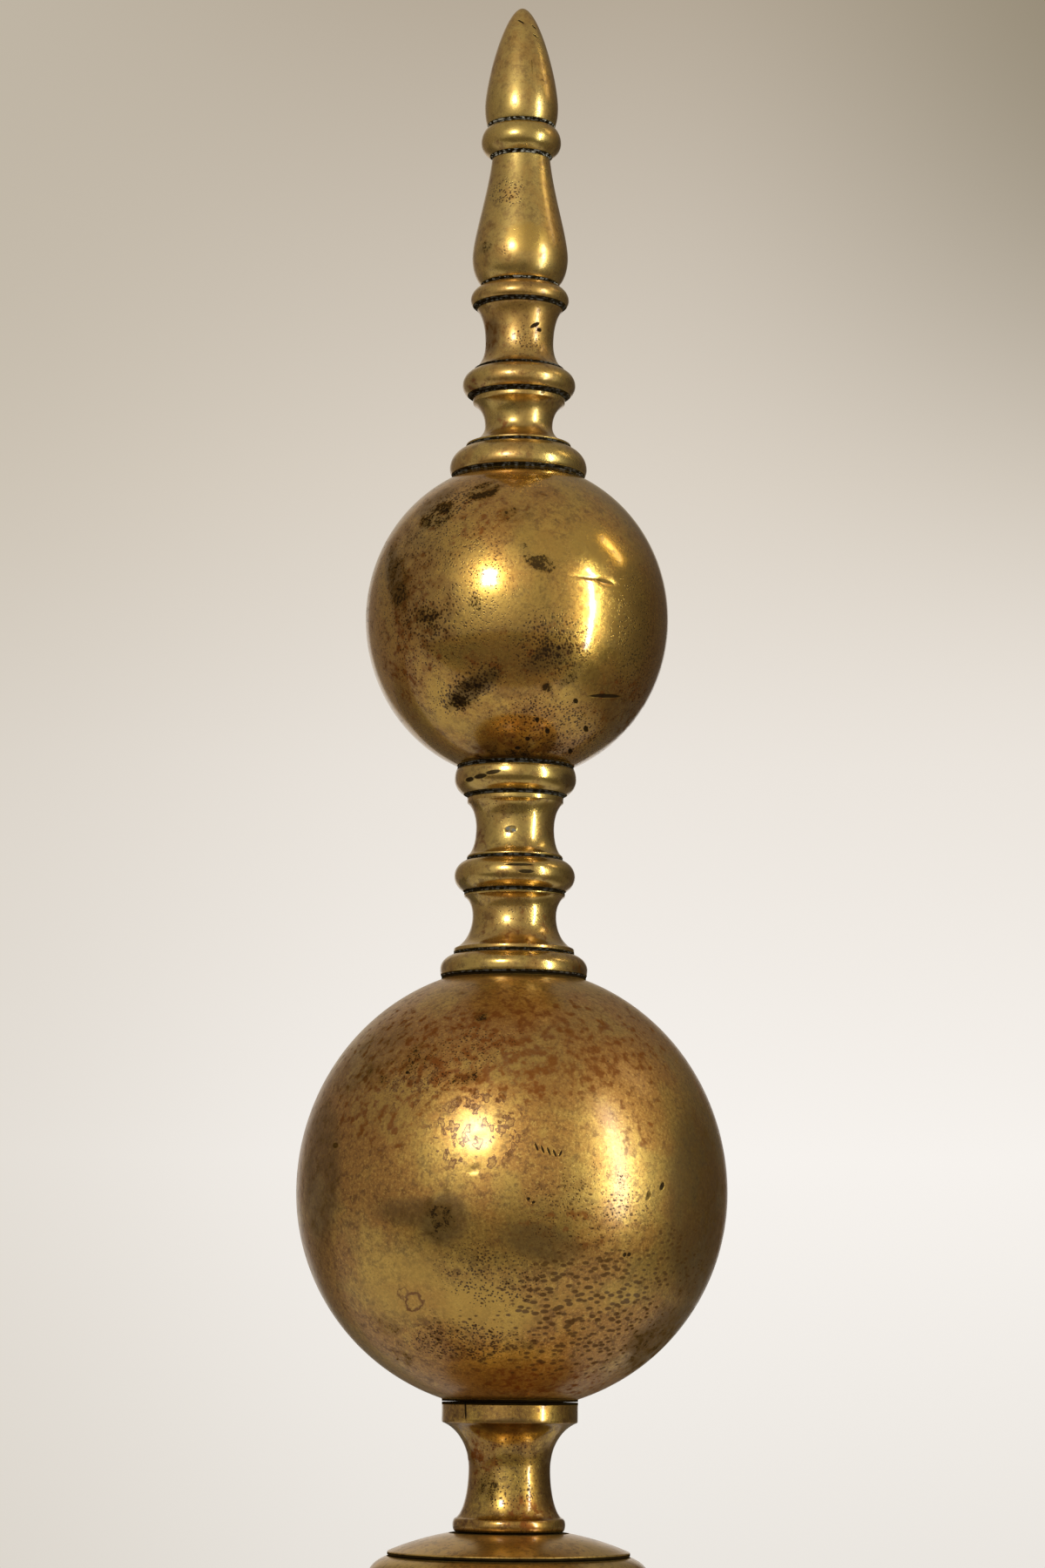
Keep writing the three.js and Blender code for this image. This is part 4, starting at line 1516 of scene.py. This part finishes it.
def oval(centre: Vector, tangent: Vector, width: float, depth: float, count: int) -> list[Vector]:
    """A ring of points across a curve that lies in the XZ plane.

    Args:
        centre: the curve's point, as (out, up).
        tangent: the curve's direction there.
        width: the ring's size along Y.
        depth: the ring's size across the curve in its plane.
        count: how many points it has.

    Returns:
        The points.
    """
    along = tangent.normalized()
    ring = []
    for i in range(count):
        angle = math.tau * i / count
        side, rise = width / 2 * math.cos(angle), depth / 2 * math.sin(angle)
        ring.append(Vector((centre.x - along.y * rise, side, centre.y + along.x * rise)) * MM)
    return ring


def lathed(outline: Sequence[Point], facets: int, mesh: bmesh.types.BMesh) -> None:
    """Adds a solid of revolution about Z.

    Args:
        outline: points (radius, height) in millimetres, from the axis at the foot to the axis at the head.
        facets: how many facets it has.
        mesh: the mesh to add to.
    """
    rings = []
    for radius, height in outline:
        angles = [math.tau * i / facets for i in range(facets)]
        rings.append([Vector((radius * math.cos(a), radius * math.sin(a), height)) * MM for a in angles])
    loft(rings, mesh)


def turned(name: str, outline: Sequence[Point], facets: int, along: float = 0.0) -> bpy.types.Object:
    """A solid of revolution as an object.

    Args:
        name: the object's name.
        outline: its outline, as for lathed.
        facets: how many facets it has.
        along: how far back its axis stands, in millimetres.

    Returns:
        The object.
    """
    made = solid(name, lambda mesh: lathed(outline, facets, mesh))
    made.data.transform(Matrix.Translation((0, along * MM, 0)))
    return made


@dataclass
class ArchedBase:
    """The brass casting under the stack: a hollow round hub on two legs that splay forward."""

    deck_height: float = 128.0
    hub_height: float = 34.0
    hub_head: float = 49.0
    hub_foot: float = 44.0
    hub_wall: float = 6.0
    hub_deck: float = 6.0
    reach: float = 146.0
    splay: float = 26.0
    root: float = 40.0
    width: float = 30.0
    depth: float = 31.0
    ankle: float = 14.5
    foot_radius: float = 18.6
    foot_height: float = 9.0
    spur_length: float = 13.0
    spur_radius: float = 6.5
    spur_lean: float = 34.0
    spur_start: float = 0.44
    notch: float = 22.6
    rings: int = 56
    ring_points: int = 32
    voxel: float = 1.15 * MM

    def _stations(self) -> list[Point]:
        """The points that a leg's centreline passes through."""
        root_height = self.deck_height - self.hub_deck - self.depth / 2
        return [
            (self.root, root_height),
            (self.reach * 0.42, root_height + 4),
            (self.reach * 0.62, root_height * 0.86),
            (self.reach * 0.75, root_height * 0.55),
            (self.reach * 0.83, root_height * 0.27),
            (self.reach * 0.96, self.foot_height * 0.8),
        ]

    def _leg(self, mesh: bmesh.types.BMesh) -> None:
        """Adds one leg, which points along +X."""
        stations = self._stations()
        step = 0.001
        rings = []
        for i in range(self.rings + 1):
            share = i / self.rings
            low, high = max(0.0, share - step), min(1.0, share + step)
            tangent = centripetal(stations, high) - centripetal(stations, low)
            ease = min(1.0, max(0.0, (share - 0.2) / 0.7))
            ease = ease * ease * (3 - 2 * ease)
            width = self.width + (self.ankle - self.width) * ease
            depth = self.depth + (self.ankle - self.depth) * ease
            rings.append(oval(centripetal(stations, share), tangent, width, depth, self.ring_points))
        loft(rings, mesh)

    def _spur(self, mesh: bmesh.types.BMesh) -> None:
        """Adds the pointed spur under a leg."""
        start = centripetal(self._stations(), self.spur_start)
        lean = math.radians(self.spur_lean)
        way = Vector((-math.sin(lean), -math.cos(lean))) * (self.depth / 2 + self.spur_length)
        shape = bezier([(1.0, 0.0), (1.02, 0.5), (0.55, 0.72), (0.10, 1.0)], 16)
        loft([oval(start + way * s, way, *[2 * self.spur_radius * r] * 2, 20) for r, s in shape], mesh)

    def _foot(self, mesh: bmesh.types.BMesh) -> None:
        """Adds the round pad foot at the end of a leg."""
        radius, height = self.foot_radius, self.foot_height
        side = [
            (NEAR_AXIS, 0.0),
            (radius * 0.88, 0.0),
            *arc((radius * 0.8, height * 0.4), (radius * 0.2, height * 0.34), -60, 90, 14),
            *arc((radius * 0.46, height * 0.74), (radius * 0.28, height * 0.26), 0, 90, 8),
            (NEAR_AXIS, height),
        ]
        first = len(mesh.verts)
        lathed(side, 64, mesh)
        mesh.verts.ensure_lookup_table()
        bmesh.ops.translate(mesh, verts=mesh.verts[first:], vec=(self.reach * MM, 0, 0))

    def _hub(self, mesh: bmesh.types.BMesh) -> None:
        """Adds the hub, still solid."""
        underside = self.deck_height - self.hub_deck
        swell = (self.hub_head - self.hub_foot, self.hub_height / 2)
        skirt = self.deck_height - self.hub_height
        side = [
            (NEAR_AXIS, skirt),
            (self.hub_foot, skirt),
            *arc((self.hub_foot, underside), swell, -90, 0, 20),
            (self.hub_head, self.deck_height),
            (NEAR_AXIS, self.deck_height),
        ]
        lathed(eased(side, 1.2), 128, mesh)

    def _cast(self) -> bpy.types.Object:
        """The whole casting as one rough solid, before its cuts."""
        parts = []
        for turn in (-self.splay, self.splay - 180.0):
            for write in (self._leg, self._spur, self._foot):
                part = solid("limb", write)
                part.data.transform(Matrix.Rotation(math.radians(turn), 4, "Z"))
                parts.append(part)
        hub = combined(solid("arched_base", self._hub), parts, "UNION")
        remesh = hub.modifiers.new("remesh", "REMESH")
        remesh.mode = "VOXEL"
        remesh.voxel_size = self.voxel
        fair = hub.modifiers.new("fair", "SMOOTH")
        fair.factor = 0.5
        fair.iterations = 6
        return baked(hub)

    def _cutters(self) -> list[bpy.types.Object]:
        """The solids cut out of the casting: its hollow, the rod's bore and the bar's notch."""
        underside = self.deck_height - self.hub_deck
        hollow_radius = self.hub_foot - self.hub_wall

        def notch(mesh: bmesh.types.BMesh) -> None:
            """Fills the notch's mesh."""
            bmesh.ops.create_cube(mesh, size=1.0)
            size = Vector((self.notch, 2 * self.hub_head, underside)) * MM
            bmesh.ops.scale(mesh, verts=mesh.verts, vec=size)
            bmesh.ops.translate(mesh, verts=mesh.verts, vec=Vector((0, self.hub_head, underside / 2)) * MM)

        return [
            turned("hollow", [(hollow_radius, 0.0), (hollow_radius, underside)], 96),
            turned("bore", [(BORE, 0.0), (BORE, self.deck_height + 1)], 48),
            solid("notch", notch),
        ]

    def build(self) -> None:
        """Casts, cuts and dresses the base."""
        brass = AgedBrass("brass base", tarnished=0.6, mottle=0.6, speckle=0.5, seed=40.0)
        base = combined(self._cast(), self._cutters(), "DIFFERENCE")
        base.data.transform(Matrix.Translation(stack_axis()))
        smooth(base, brass.material())
        placed(base, Slot.BRASS, "arched_base")


# ---- Wrought iron ----


def hammered(piece: bpy.types.Object, depth: float, size: float, seed: float) -> None:
    """Beats a piece's surface in with shallow hammer blows.

    Args:
        piece: the piece, with faces small enough to show the blows.
        depth: the depth of the deepest blows, in metres.
        size: the size of a blow, in metres.
        seed: a fixed number that picks the pattern.
    """
    mesh = piece.data
    drift = Vector((seed, seed * 0.7, seed * 1.3))
    for vertex in mesh.vertices:
        blow = noise.noise(vertex.co / size + drift) + 0.4 * noise.noise(vertex.co / (size * 0.4) - drift)
        vertex.co -= vertex.normal * depth * min(1.0, max(0.0, 0.5 + 0.7 * blow))
    mesh.update()


def rounded_box(half_width: float, half_height: float, corner: float, per_side: int = 6) -> list[Point]:
    """The points of a rectangle with rounded corners.

    Args:
        half_width: half its width.
        half_height: half its height.
        corner: its corners' radius.
        per_side: how many parts each side is divided into.

    Returns:
        The points, anticlockwise.
    """
    points: list[Point] = []
    for quarter, (u, v) in enumerate(((1, 1), (-1, 1), (-1, -1), (1, -1))):
        middle = (u * (half_width - corner), v * (half_height - corner))
        points += arc(middle, (corner, corner), quarter * 90, quarter * 90 + 90, 4)
    dense: list[Point] = []
    for first, second in zip(points, points[1:] + points[:1]):
        start, end = Vector(first), Vector(second)
        parts = per_side if (end - start).length > corner else 1
        dense += [tuple(start.lerp(end, i / parts)) for i in range(parts)]
    return dense


@dataclass
class Ironwork:
    """The billet bar, its rear leg and its log stop."""

    bar_width: float = 22.0
    bar_reach: float = 432.0
    bar_nose: float = 16.0
    chamfer: float = 2.0
    leg_width: float = 19.0
    leg_depth: float = 13.0
    leg_inset: float = 20.0
    leg_kick: float = 12.0
    leg_foot: float = 18.8
    leg_foot_height: float = 6.0
    stop_offset: float = 104.0
    stop_height: float = 70.0
    stop_width: float = 17.0
    stop_depth: float = 12.0
    stop_knob: float = 9.0
    tenon: float = 5.5
    rivet_radius: float = 9.0
    rivet_height: float = 3.4
    blow_depth: float = 0.35

    def __post_init__(self) -> None:
        """Takes the bar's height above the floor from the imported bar."""
        low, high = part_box("billet_bar")
        self.top = high.z / MM
        self.underside = low.z / MM
        self.finish = BlackIron("blackened iron").material()

    def _upright(self, radius: float, low: float, high: float, along: float) -> bpy.types.Object:
        """An upright cylinder, a distance along the bar."""
        return turned("upright", [(radius, low), (radius, high)], 40, along)

    def _rivet(self, along: float, height: float, up: int) -> bpy.types.Object:
        """A rivet's round head at a height, which points up or down."""
        crown = arc((0, 0), (self.rivet_radius, self.rivet_height), 0, 89, 10)
        return turned("rivet", [(r, height + up * z) for r, z in crown], 40, along)

    def _post(self, name: str, stations: Sequence[tuple[float, float, float, float]]) -> bpy.types.Object:
        """A post through stations of height, width, depth and place along the bar."""

        def write(mesh: bmesh.types.BMesh) -> None:
            """Fills the post's mesh."""
            rings = []
            for first, second in zip(stations, stations[1:]):
                parts = max(1, round((second[0] - first[0]) / 2.0))
                for i in range(parts + (second is stations[-1])):
                    height, width, depth, along = (a + (b - a) * i / parts for a, b in zip(first, second))
                    outline = rounded_box(width / 2, depth / 2, 1.6)
                    rings.append([Vector((u, v + along, height)) * MM for u, v in outline])
            loft(rings, mesh)

        return solid(name, write)

    def _finished(self, piece: bpy.types.Object, node: str, seed: float) -> None:
        """Hammers, places and dresses a piece, which stands for a CAD node."""
        hammered(piece, self.blow_depth * MM, 0.012, seed)
        piece.data.transform(Matrix.Translation(stack_axis()))
        smooth(piece, self.finish, FORGED_EDGE)
        placed(piece, Slot.IRON, node)

    def _bar(self) -> None:
        """Forges the billet bar."""
        half = self.bar_width / 2
        middle = (self.top + self.underside) / 2

        def write(mesh: bmesh.types.BMesh) -> None:
            """Fills the bar's mesh."""
            rings = []
            steps = round((self.bar_nose + self.bar_reach) / 2.5)
            for i in range(steps + 1):
                along = -self.bar_nose + (self.bar_nose + self.bar_reach) * i / steps
                inset = 1.0 if i in (0, steps) else 0.0
                outline = rounded_box(half - inset, half - inset, self.chamfer - inset * 0.5)
                rings.append([Vector((u, along, middle + v)) * MM for u, v in outline])
            loft(rings, mesh)

        bar = solid("billet_bar", write)
        rear = self.bar_reach - self.leg_inset
        loose = self.tenon + FIT_GAP
        places = ((BORE, 0.0), (loose, self.stop_offset), (loose, rear))
        holes = [self._upright(radius, self.underside - 1, self.top + 1, along) for radius, along in places]
        self._finished(combined(bar, holes, "DIFFERENCE"), "billet_bar", 3.0)

    def _rear_leg(self) -> None:
        """Forges the rear leg with its foot and its riveted tenon."""
        width, depth, kick = self.leg_width, self.leg_depth, self.leg_kick
        rear = self.bar_reach - self.leg_inset
        shoulder = self.underside - FIT_GAP
        stations = [
            (self.leg_foot_height / 2, width * 0.8, depth, rear + kick),
            (shoulder * 0.22, width * 0.8, depth * 0.85, rear + kick * 0.55),
            (shoulder * 0.45, width * 0.86, depth * 0.9, rear + kick * 0.15),
            (shoulder * 0.75, width, depth, rear),
            (shoulder, width, depth * 1.15, rear),
        ]
        riveted = self.top + FIT_GAP
        side = [(NEAR_AXIS, 0), (self.leg_foot, 0), (self.leg_foot, self.leg_foot_height - 1)]
        side += [(self.leg_foot - 1.2, self.leg_foot_height), (NEAR_AXIS, self.leg_foot_height)]
        foot = turned("foot", eased(side, 0.8), 64, rear + kick)
        tenon = self._upright(self.tenon, shoulder - 1, riveted + 1, rear)
        parts = [foot, tenon, self._rivet(rear, riveted, 1)]
        self._finished(combined(self._post("rear_leg", stations), parts, "UNION"), "rear_leg", 7.0)

    def _log_stop(self) -> None:
        """Forges the log stop with its knob and its riveted tenon."""
        width, depth, offset = self.stop_width, self.stop_depth, self.stop_offset
        seat = self.top + FIT_GAP
        knob_height = seat + self.stop_height - self.stop_knob
        stations = [
            (seat, width, depth, offset),
            (seat + self.stop_height * 0.12, width, depth, offset),
            (knob_height, width * 0.62, depth * 0.75, offset),
        ]
        round_side = arc((0, knob_height), (self.stop_knob, self.stop_knob), -89.5, 89.5, 32)
        ball = turned("knob", round_side, 48, offset)
        riveted = self.underside - FIT_GAP
        tenon = self._upright(self.tenon, riveted - 1, seat + 1, offset)
        parts = [ball, tenon, self._rivet(offset, riveted, -1)]
        self._finished(combined(self._post("log_stop", stations), parts, "UNION"), "log_stop", 11.0)

    def build(self) -> None:
        """Forges and dresses the ironwork."""
        self._bar()
        self._rear_leg()
        self._log_stop()


@dataclass
class TieRod:
    """The iron rod that clamps the stack, with its washer and its nut."""

    lathe: Lathe
    thread_pitch: float = 1.6
    thread_depth: float = 0.75
    thread_length: float = 21.0
    washer_radius: float = 13.0
    nut_width: float = 18.0
    nut_chamfer: float = 1.5

    def _rod(self, finish: bpy.types.Material) -> None:
        """Turns the rod and cuts its thread."""
        height = height_of("tie_rod")
        fine = round(self.thread_length / 0.16)
        side = [(ROD_RADIUS, 0.4 + (self.thread_length - 0.4) * i / fine) for i in range(fine + 1)]
        outer = [(ROD_RADIUS - 0.9, 0.0), *side, (ROD_RADIUS, height - 0.6), (ROD_RADIUS - 0.6, height)]
        inner = [(0.0, height), (0.0, 0.0)]
        thread = {
            "Facets": 32,
            "Thread_Pitch": self.thread_pitch * MM,
            "Thread_Depth": self.thread_depth * MM,
            "Thread_Top": self.thread_length * MM,
        }
        rod = self.lathe.turn("tie_rod", outer, inner, foot_of("tie_rod"), finish, **thread)
        placed(rod, Slot.IRON, "tie_rod")

    def _washer(self, finish: bpy.types.Material) -> None:
        """Turns the washer."""
        height = height_of("tie_rod_washer")
        radius = self.washer_radius
        outer = eased([(BORE, 0.0), (radius, 0.0), (radius, height), (BORE, height)], 0.3)
        washer = self.lathe.turn("tie_rod_washer", outer, [], foot_of("tie_rod_washer"), finish)
        placed(washer, Slot.IRON, "tie_rod_washer")

    def _nut(self, finish: bpy.types.Material) -> None:
        """Forges the square nut."""
        height = height_of("tie_rod_nut")

        def block(mesh: bmesh.types.BMesh) -> None:
            """Fills the nut's mesh."""
            half = self.nut_width / 2
            steps = 8
            rings = []
            for i in range(steps + 1):
                inset = 0.5 if i in (0, steps) else 0.0
                outline = rounded_box(half - inset, half - inset, self.nut_chamfer)
                rings.append([Vector((u, v, height * i / steps)) * MM for u, v in outline])
            loft(rings, mesh)

        bore = turned("bore", [(BORE, -1.0), (BORE, height + 1.0)], 40)
        nut = combined(solid("tie_rod_nut", block), [bore], "DIFFERENCE")
        hammered(nut, 0.2 * MM, 0.008, 5.0)
        nut.data.transform(Matrix.Translation(foot_of("tie_rod_nut")))
        smooth(nut, finish)
        placed(nut, Slot.IRON, "tie_rod_nut")

    def build(self) -> None:
        """Makes and dresses the rod, the washer and the nut."""
        finish = BlackIron("rusty iron", rusted=0.7).material()
        self._rod(finish)
        self._washer(finish)
        self._nut(finish)


# ---- The studio ----


@dataclass(frozen=True)
class Lamp:
    """A flat lamp that faces the stack, placed by its direction from there."""

    name: str
    azimuth: float  # degrees to the right of the front, seen from the camera
    height: float  # of its middle above the floor, in metres
    distance: float
    width: float
    tall: float
    radiance: float
    colour: Colour = (1.0, 1.0, 1.0)
    tilt: float = 0.0
    spread: float = 179.0  # how wide its beam is, in degrees

    def build(self, target: Vector) -> None:
        """Hangs the lamp.

        Args:
            target: the point that it faces.
        """
        light = bpy.data.lights.new(self.name, "AREA")
        light.shape = "RECTANGLE"
        light.size = self.width
        light.size_y = self.tall
        half = math.radians(self.spread / 2)
        light.spread = 2 * half
        gain = math.tan(half) / (math.tan(half) - half)  # of the beam's middle as the beam narrows
        light.energy = self.radiance * self.width * self.tall * math.pi / gain
        light.color = self.colour
        lamp = bpy.data.objects.new(self.name, light)
        angle = math.radians(self.azimuth)
        lamp.location = target + Vector((math.sin(angle), -math.cos(angle), 0.0)) * self.distance
        lamp.location.z = self.height
        aim = (target - lamp.location).to_track_quat("-Z", "Y").to_matrix()
        lamp.rotation_euler = (aim @ Matrix.Rotation(math.radians(self.tilt), 3, "Z")).to_euler()
        lamp.visible_camera = False
        bpy.context.scene.collection.objects.link(lamp)


@dataclass
class Studio:
    """The floor, the backdrop, the lamps and the camera."""

    camera_distance: float = 1.2785
    camera_height: float = 0.2426
    camera_aside: float = 0.0023
    pitch: float = 8.344
    roll: float = 0.5
    lens: float = 90.0
    sensor: float = 36.0
    floor_radius: float = 1.9
    floor_colour: Colour = (0.66, 0.63, 0.585)
    lamps: tuple[Lamp, ...] = (
        Lamp("soft box", -21.0, 1.08, 1.6, 0.3, 0.3, 33.0, (0.96, 0.98, 1.0), spread=110.0),
        Lamp("window strip", 57.0, 0.52, 0.95, 0.055, 0.85, 44.0, (0.90, 0.97, 1.0), spread=90.0),
        Lamp("warm lamp", 92.0, 1.44, 1.3, 0.16, 0.42, 3.6, (1.0, 0.80, 0.42), 25.0),
    )

    # The height of a direction, and how pale the backdrop is there.
    BACKDROP = (
        (-0.06, (0.82, 0.785, 0.735)),
        (0.05, (0.925, 0.89, 0.85)),
        (0.15, (0.83, 0.78, 0.72)),
        (0.22, (0.71, 0.645, 0.56)),
        (0.34, (0.46, 0.395, 0.31)),
    )

    def _camera(self, axis: Vector) -> None:
        """Puts the camera at the photographed angle."""
        lens = bpy.data.cameras.new("camera")
        lens.lens = self.lens
        lens.sensor_width = self.sensor
        lens.clip_start, lens.clip_end = 0.05, 50.0
        camera = bpy.data.objects.new("camera", lens)
        camera.location = (axis.x + self.camera_aside, axis.y - self.camera_distance, self.camera_height)
        upright = Matrix.Rotation(math.radians(90 + self.pitch), 3, "X")
        camera.rotation_euler = (upright @ Matrix.Rotation(math.radians(self.roll), 3, "Z")).to_euler()
        bpy.context.scene.collection.objects.link(camera)
        bpy.context.scene.camera = camera

    def _floor(self, axis: Vector) -> None:
        """Lays the plain pale floor, whose reflections are painted darker."""

        def write(nodes: Nodes) -> Value:
            """Writes the floor's finish, with painted shade in what the brass reflects of it."""
            place = nodes.add("ShaderNodeTexCoord", {}, {}, "Object")
            tone = nodes.cloud(place, 0.4, 3.0)
            colour = nodes.blend(tone * 0.1, self.floor_colour, (0.60, 0.57, 0.53))
            across, back, _ = nodes.split(place)
            depth = back - axis.y
            # Painted shade for glossy rays only: in reflections the floor shows a little darker near the stack,
            # and dark farther away.
            far = depth.between(-0.33, -0.38).most(depth.between(0.36, 0.41)).most(across.between(0.3, 0.6))
            shiny = nodes.add("ShaderNodeLightPath", {}, {}, "Is Glossy Ray")
            colour = nodes.blend(shiny * (far * 0.8 + 0.2), colour, (0.15, 0.13, 0.10))
            return nodes.add("ShaderNodeBsdfPrincipled", {}, {"Base Color": colour, "Roughness": 0.85})

        def disc(mesh: bmesh.types.BMesh) -> None:
            """Fills the floor's mesh."""
            bmesh.ops.create_circle(mesh, cap_ends=True, radius=self.floor_radius, segments=96)

        floor = solid("floor", disc)
        floor.data.transform(Matrix.Translation((axis.x, 0.0, 0.0)))
        floor.data.materials.append(material("pale floor", write))
        if floor.data.polygons[0].normal.z < 0:
            floor.data.flip_normals()

    def _world(self) -> None:
        """Writes the pale backdrop, and the dimmer room that the brass mirrors."""
        world = bpy.data.worlds.new("studio")
        bpy.context.scene.world = world
        world.use_nodes = True
        nodes = Nodes(world.node_tree)
        direction = nodes.add("ShaderNodeTexCoord", {}, {}, "Generated")
        right, back, up = nodes.split(direction)
        low, high = self.BACKDROP[0][0], self.BACKDROP[-1][0]
        stops = [((place - low) / (high - low), colour) for place, colour in self.BACKDROP]
        backdrop = nodes.add("ShaderNodeValToRGB", {"stops": stops}, {"Fac": (up - low) / (high - low)})
        dimmed = right.between(0.0, -0.17) * (up.between(0.12, 0.36) * 0.55 + 0.42)
        backdrop = nodes.blend(dimmed, backdrop, (0.53, 0.47, 0.38))
        dimmed = right.between(0.02, 0.17) * up.between(0.16, 0.36) * 0.9
        backdrop = nodes.blend(dimmed, backdrop, (0.25, 0.21, 0.14))

        behind = nodes.blend(right.between(-0.5, 0.5), (0.24, 0.20, 0.16), (0.09, 0.075, 0.06))
        room = nodes.blend(back.between(0.5, -0.9), behind, (0.44, 0.405, 0.35))
        room = nodes.blend(up.between(0.2, 0.9) * 0.7, room, (0.44, 0.40, 0.33))
        aside = right + 0.08
        wall = (aside * aside).between(0.14, 0.07) * back.between(0.1, 0.4) * up.between(0.8, 0.55)
        mirrored = nodes.blend(wall, room, backdrop)
        glow = (back * -0.874 - right * 0.336 + up * 0.35).between(0.80, 1.0)
        mirrored = nodes.blend(glow * 0.6, mirrored, (1.1, 1.03, 0.92))

        path = nodes.add("ShaderNodeLightPath", {}, {}, "Is Camera Ray").socket.node.outputs
        seen = Value(nodes, path["Is Camera Ray"])
        shiny = Value(nodes, path["Is Glossy Ray"]).most(Value(nodes, path["Is Transmission Ray"]))
        colour = nodes.blend(shiny, (0.72, 0.70, 0.67), mirrored)
        colour = nodes.blend(seen, colour, backdrop)
        shade = nodes.add("ShaderNodeBackground", {}, {"Color": colour, "Strength": 1.0})
        nodes.add("ShaderNodeOutputWorld", {}, {"Surface": shade})

    def build(self) -> None:
        """Sets the studio up."""
        axis = stack_axis()
        self._camera(axis)
        self._floor(axis)
        self._world()
        target = axis + Vector((0.0, 0.0, 0.40))
        for lamp in self.lamps:
            lamp.build(target)
        bpy.context.scene.view_settings.view_transform = "Standard"
        LOG.info("studio: %d lamps", len(self.lamps))


def main() -> None:
    """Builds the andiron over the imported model."""
    logging.basicConfig(level=logging.INFO, format="%(message)s")
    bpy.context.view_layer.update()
    lathe = Lathe()
    Studio().build()
    Finial(lathe).build()
    Balls(lathe).build()
    Stem(lathe).build()
    Socle(lathe).build()
    ArchedBase().build()
    Ironwork().build()
    TieRod(lathe).build()


if __name__ == "__main__":
    main()
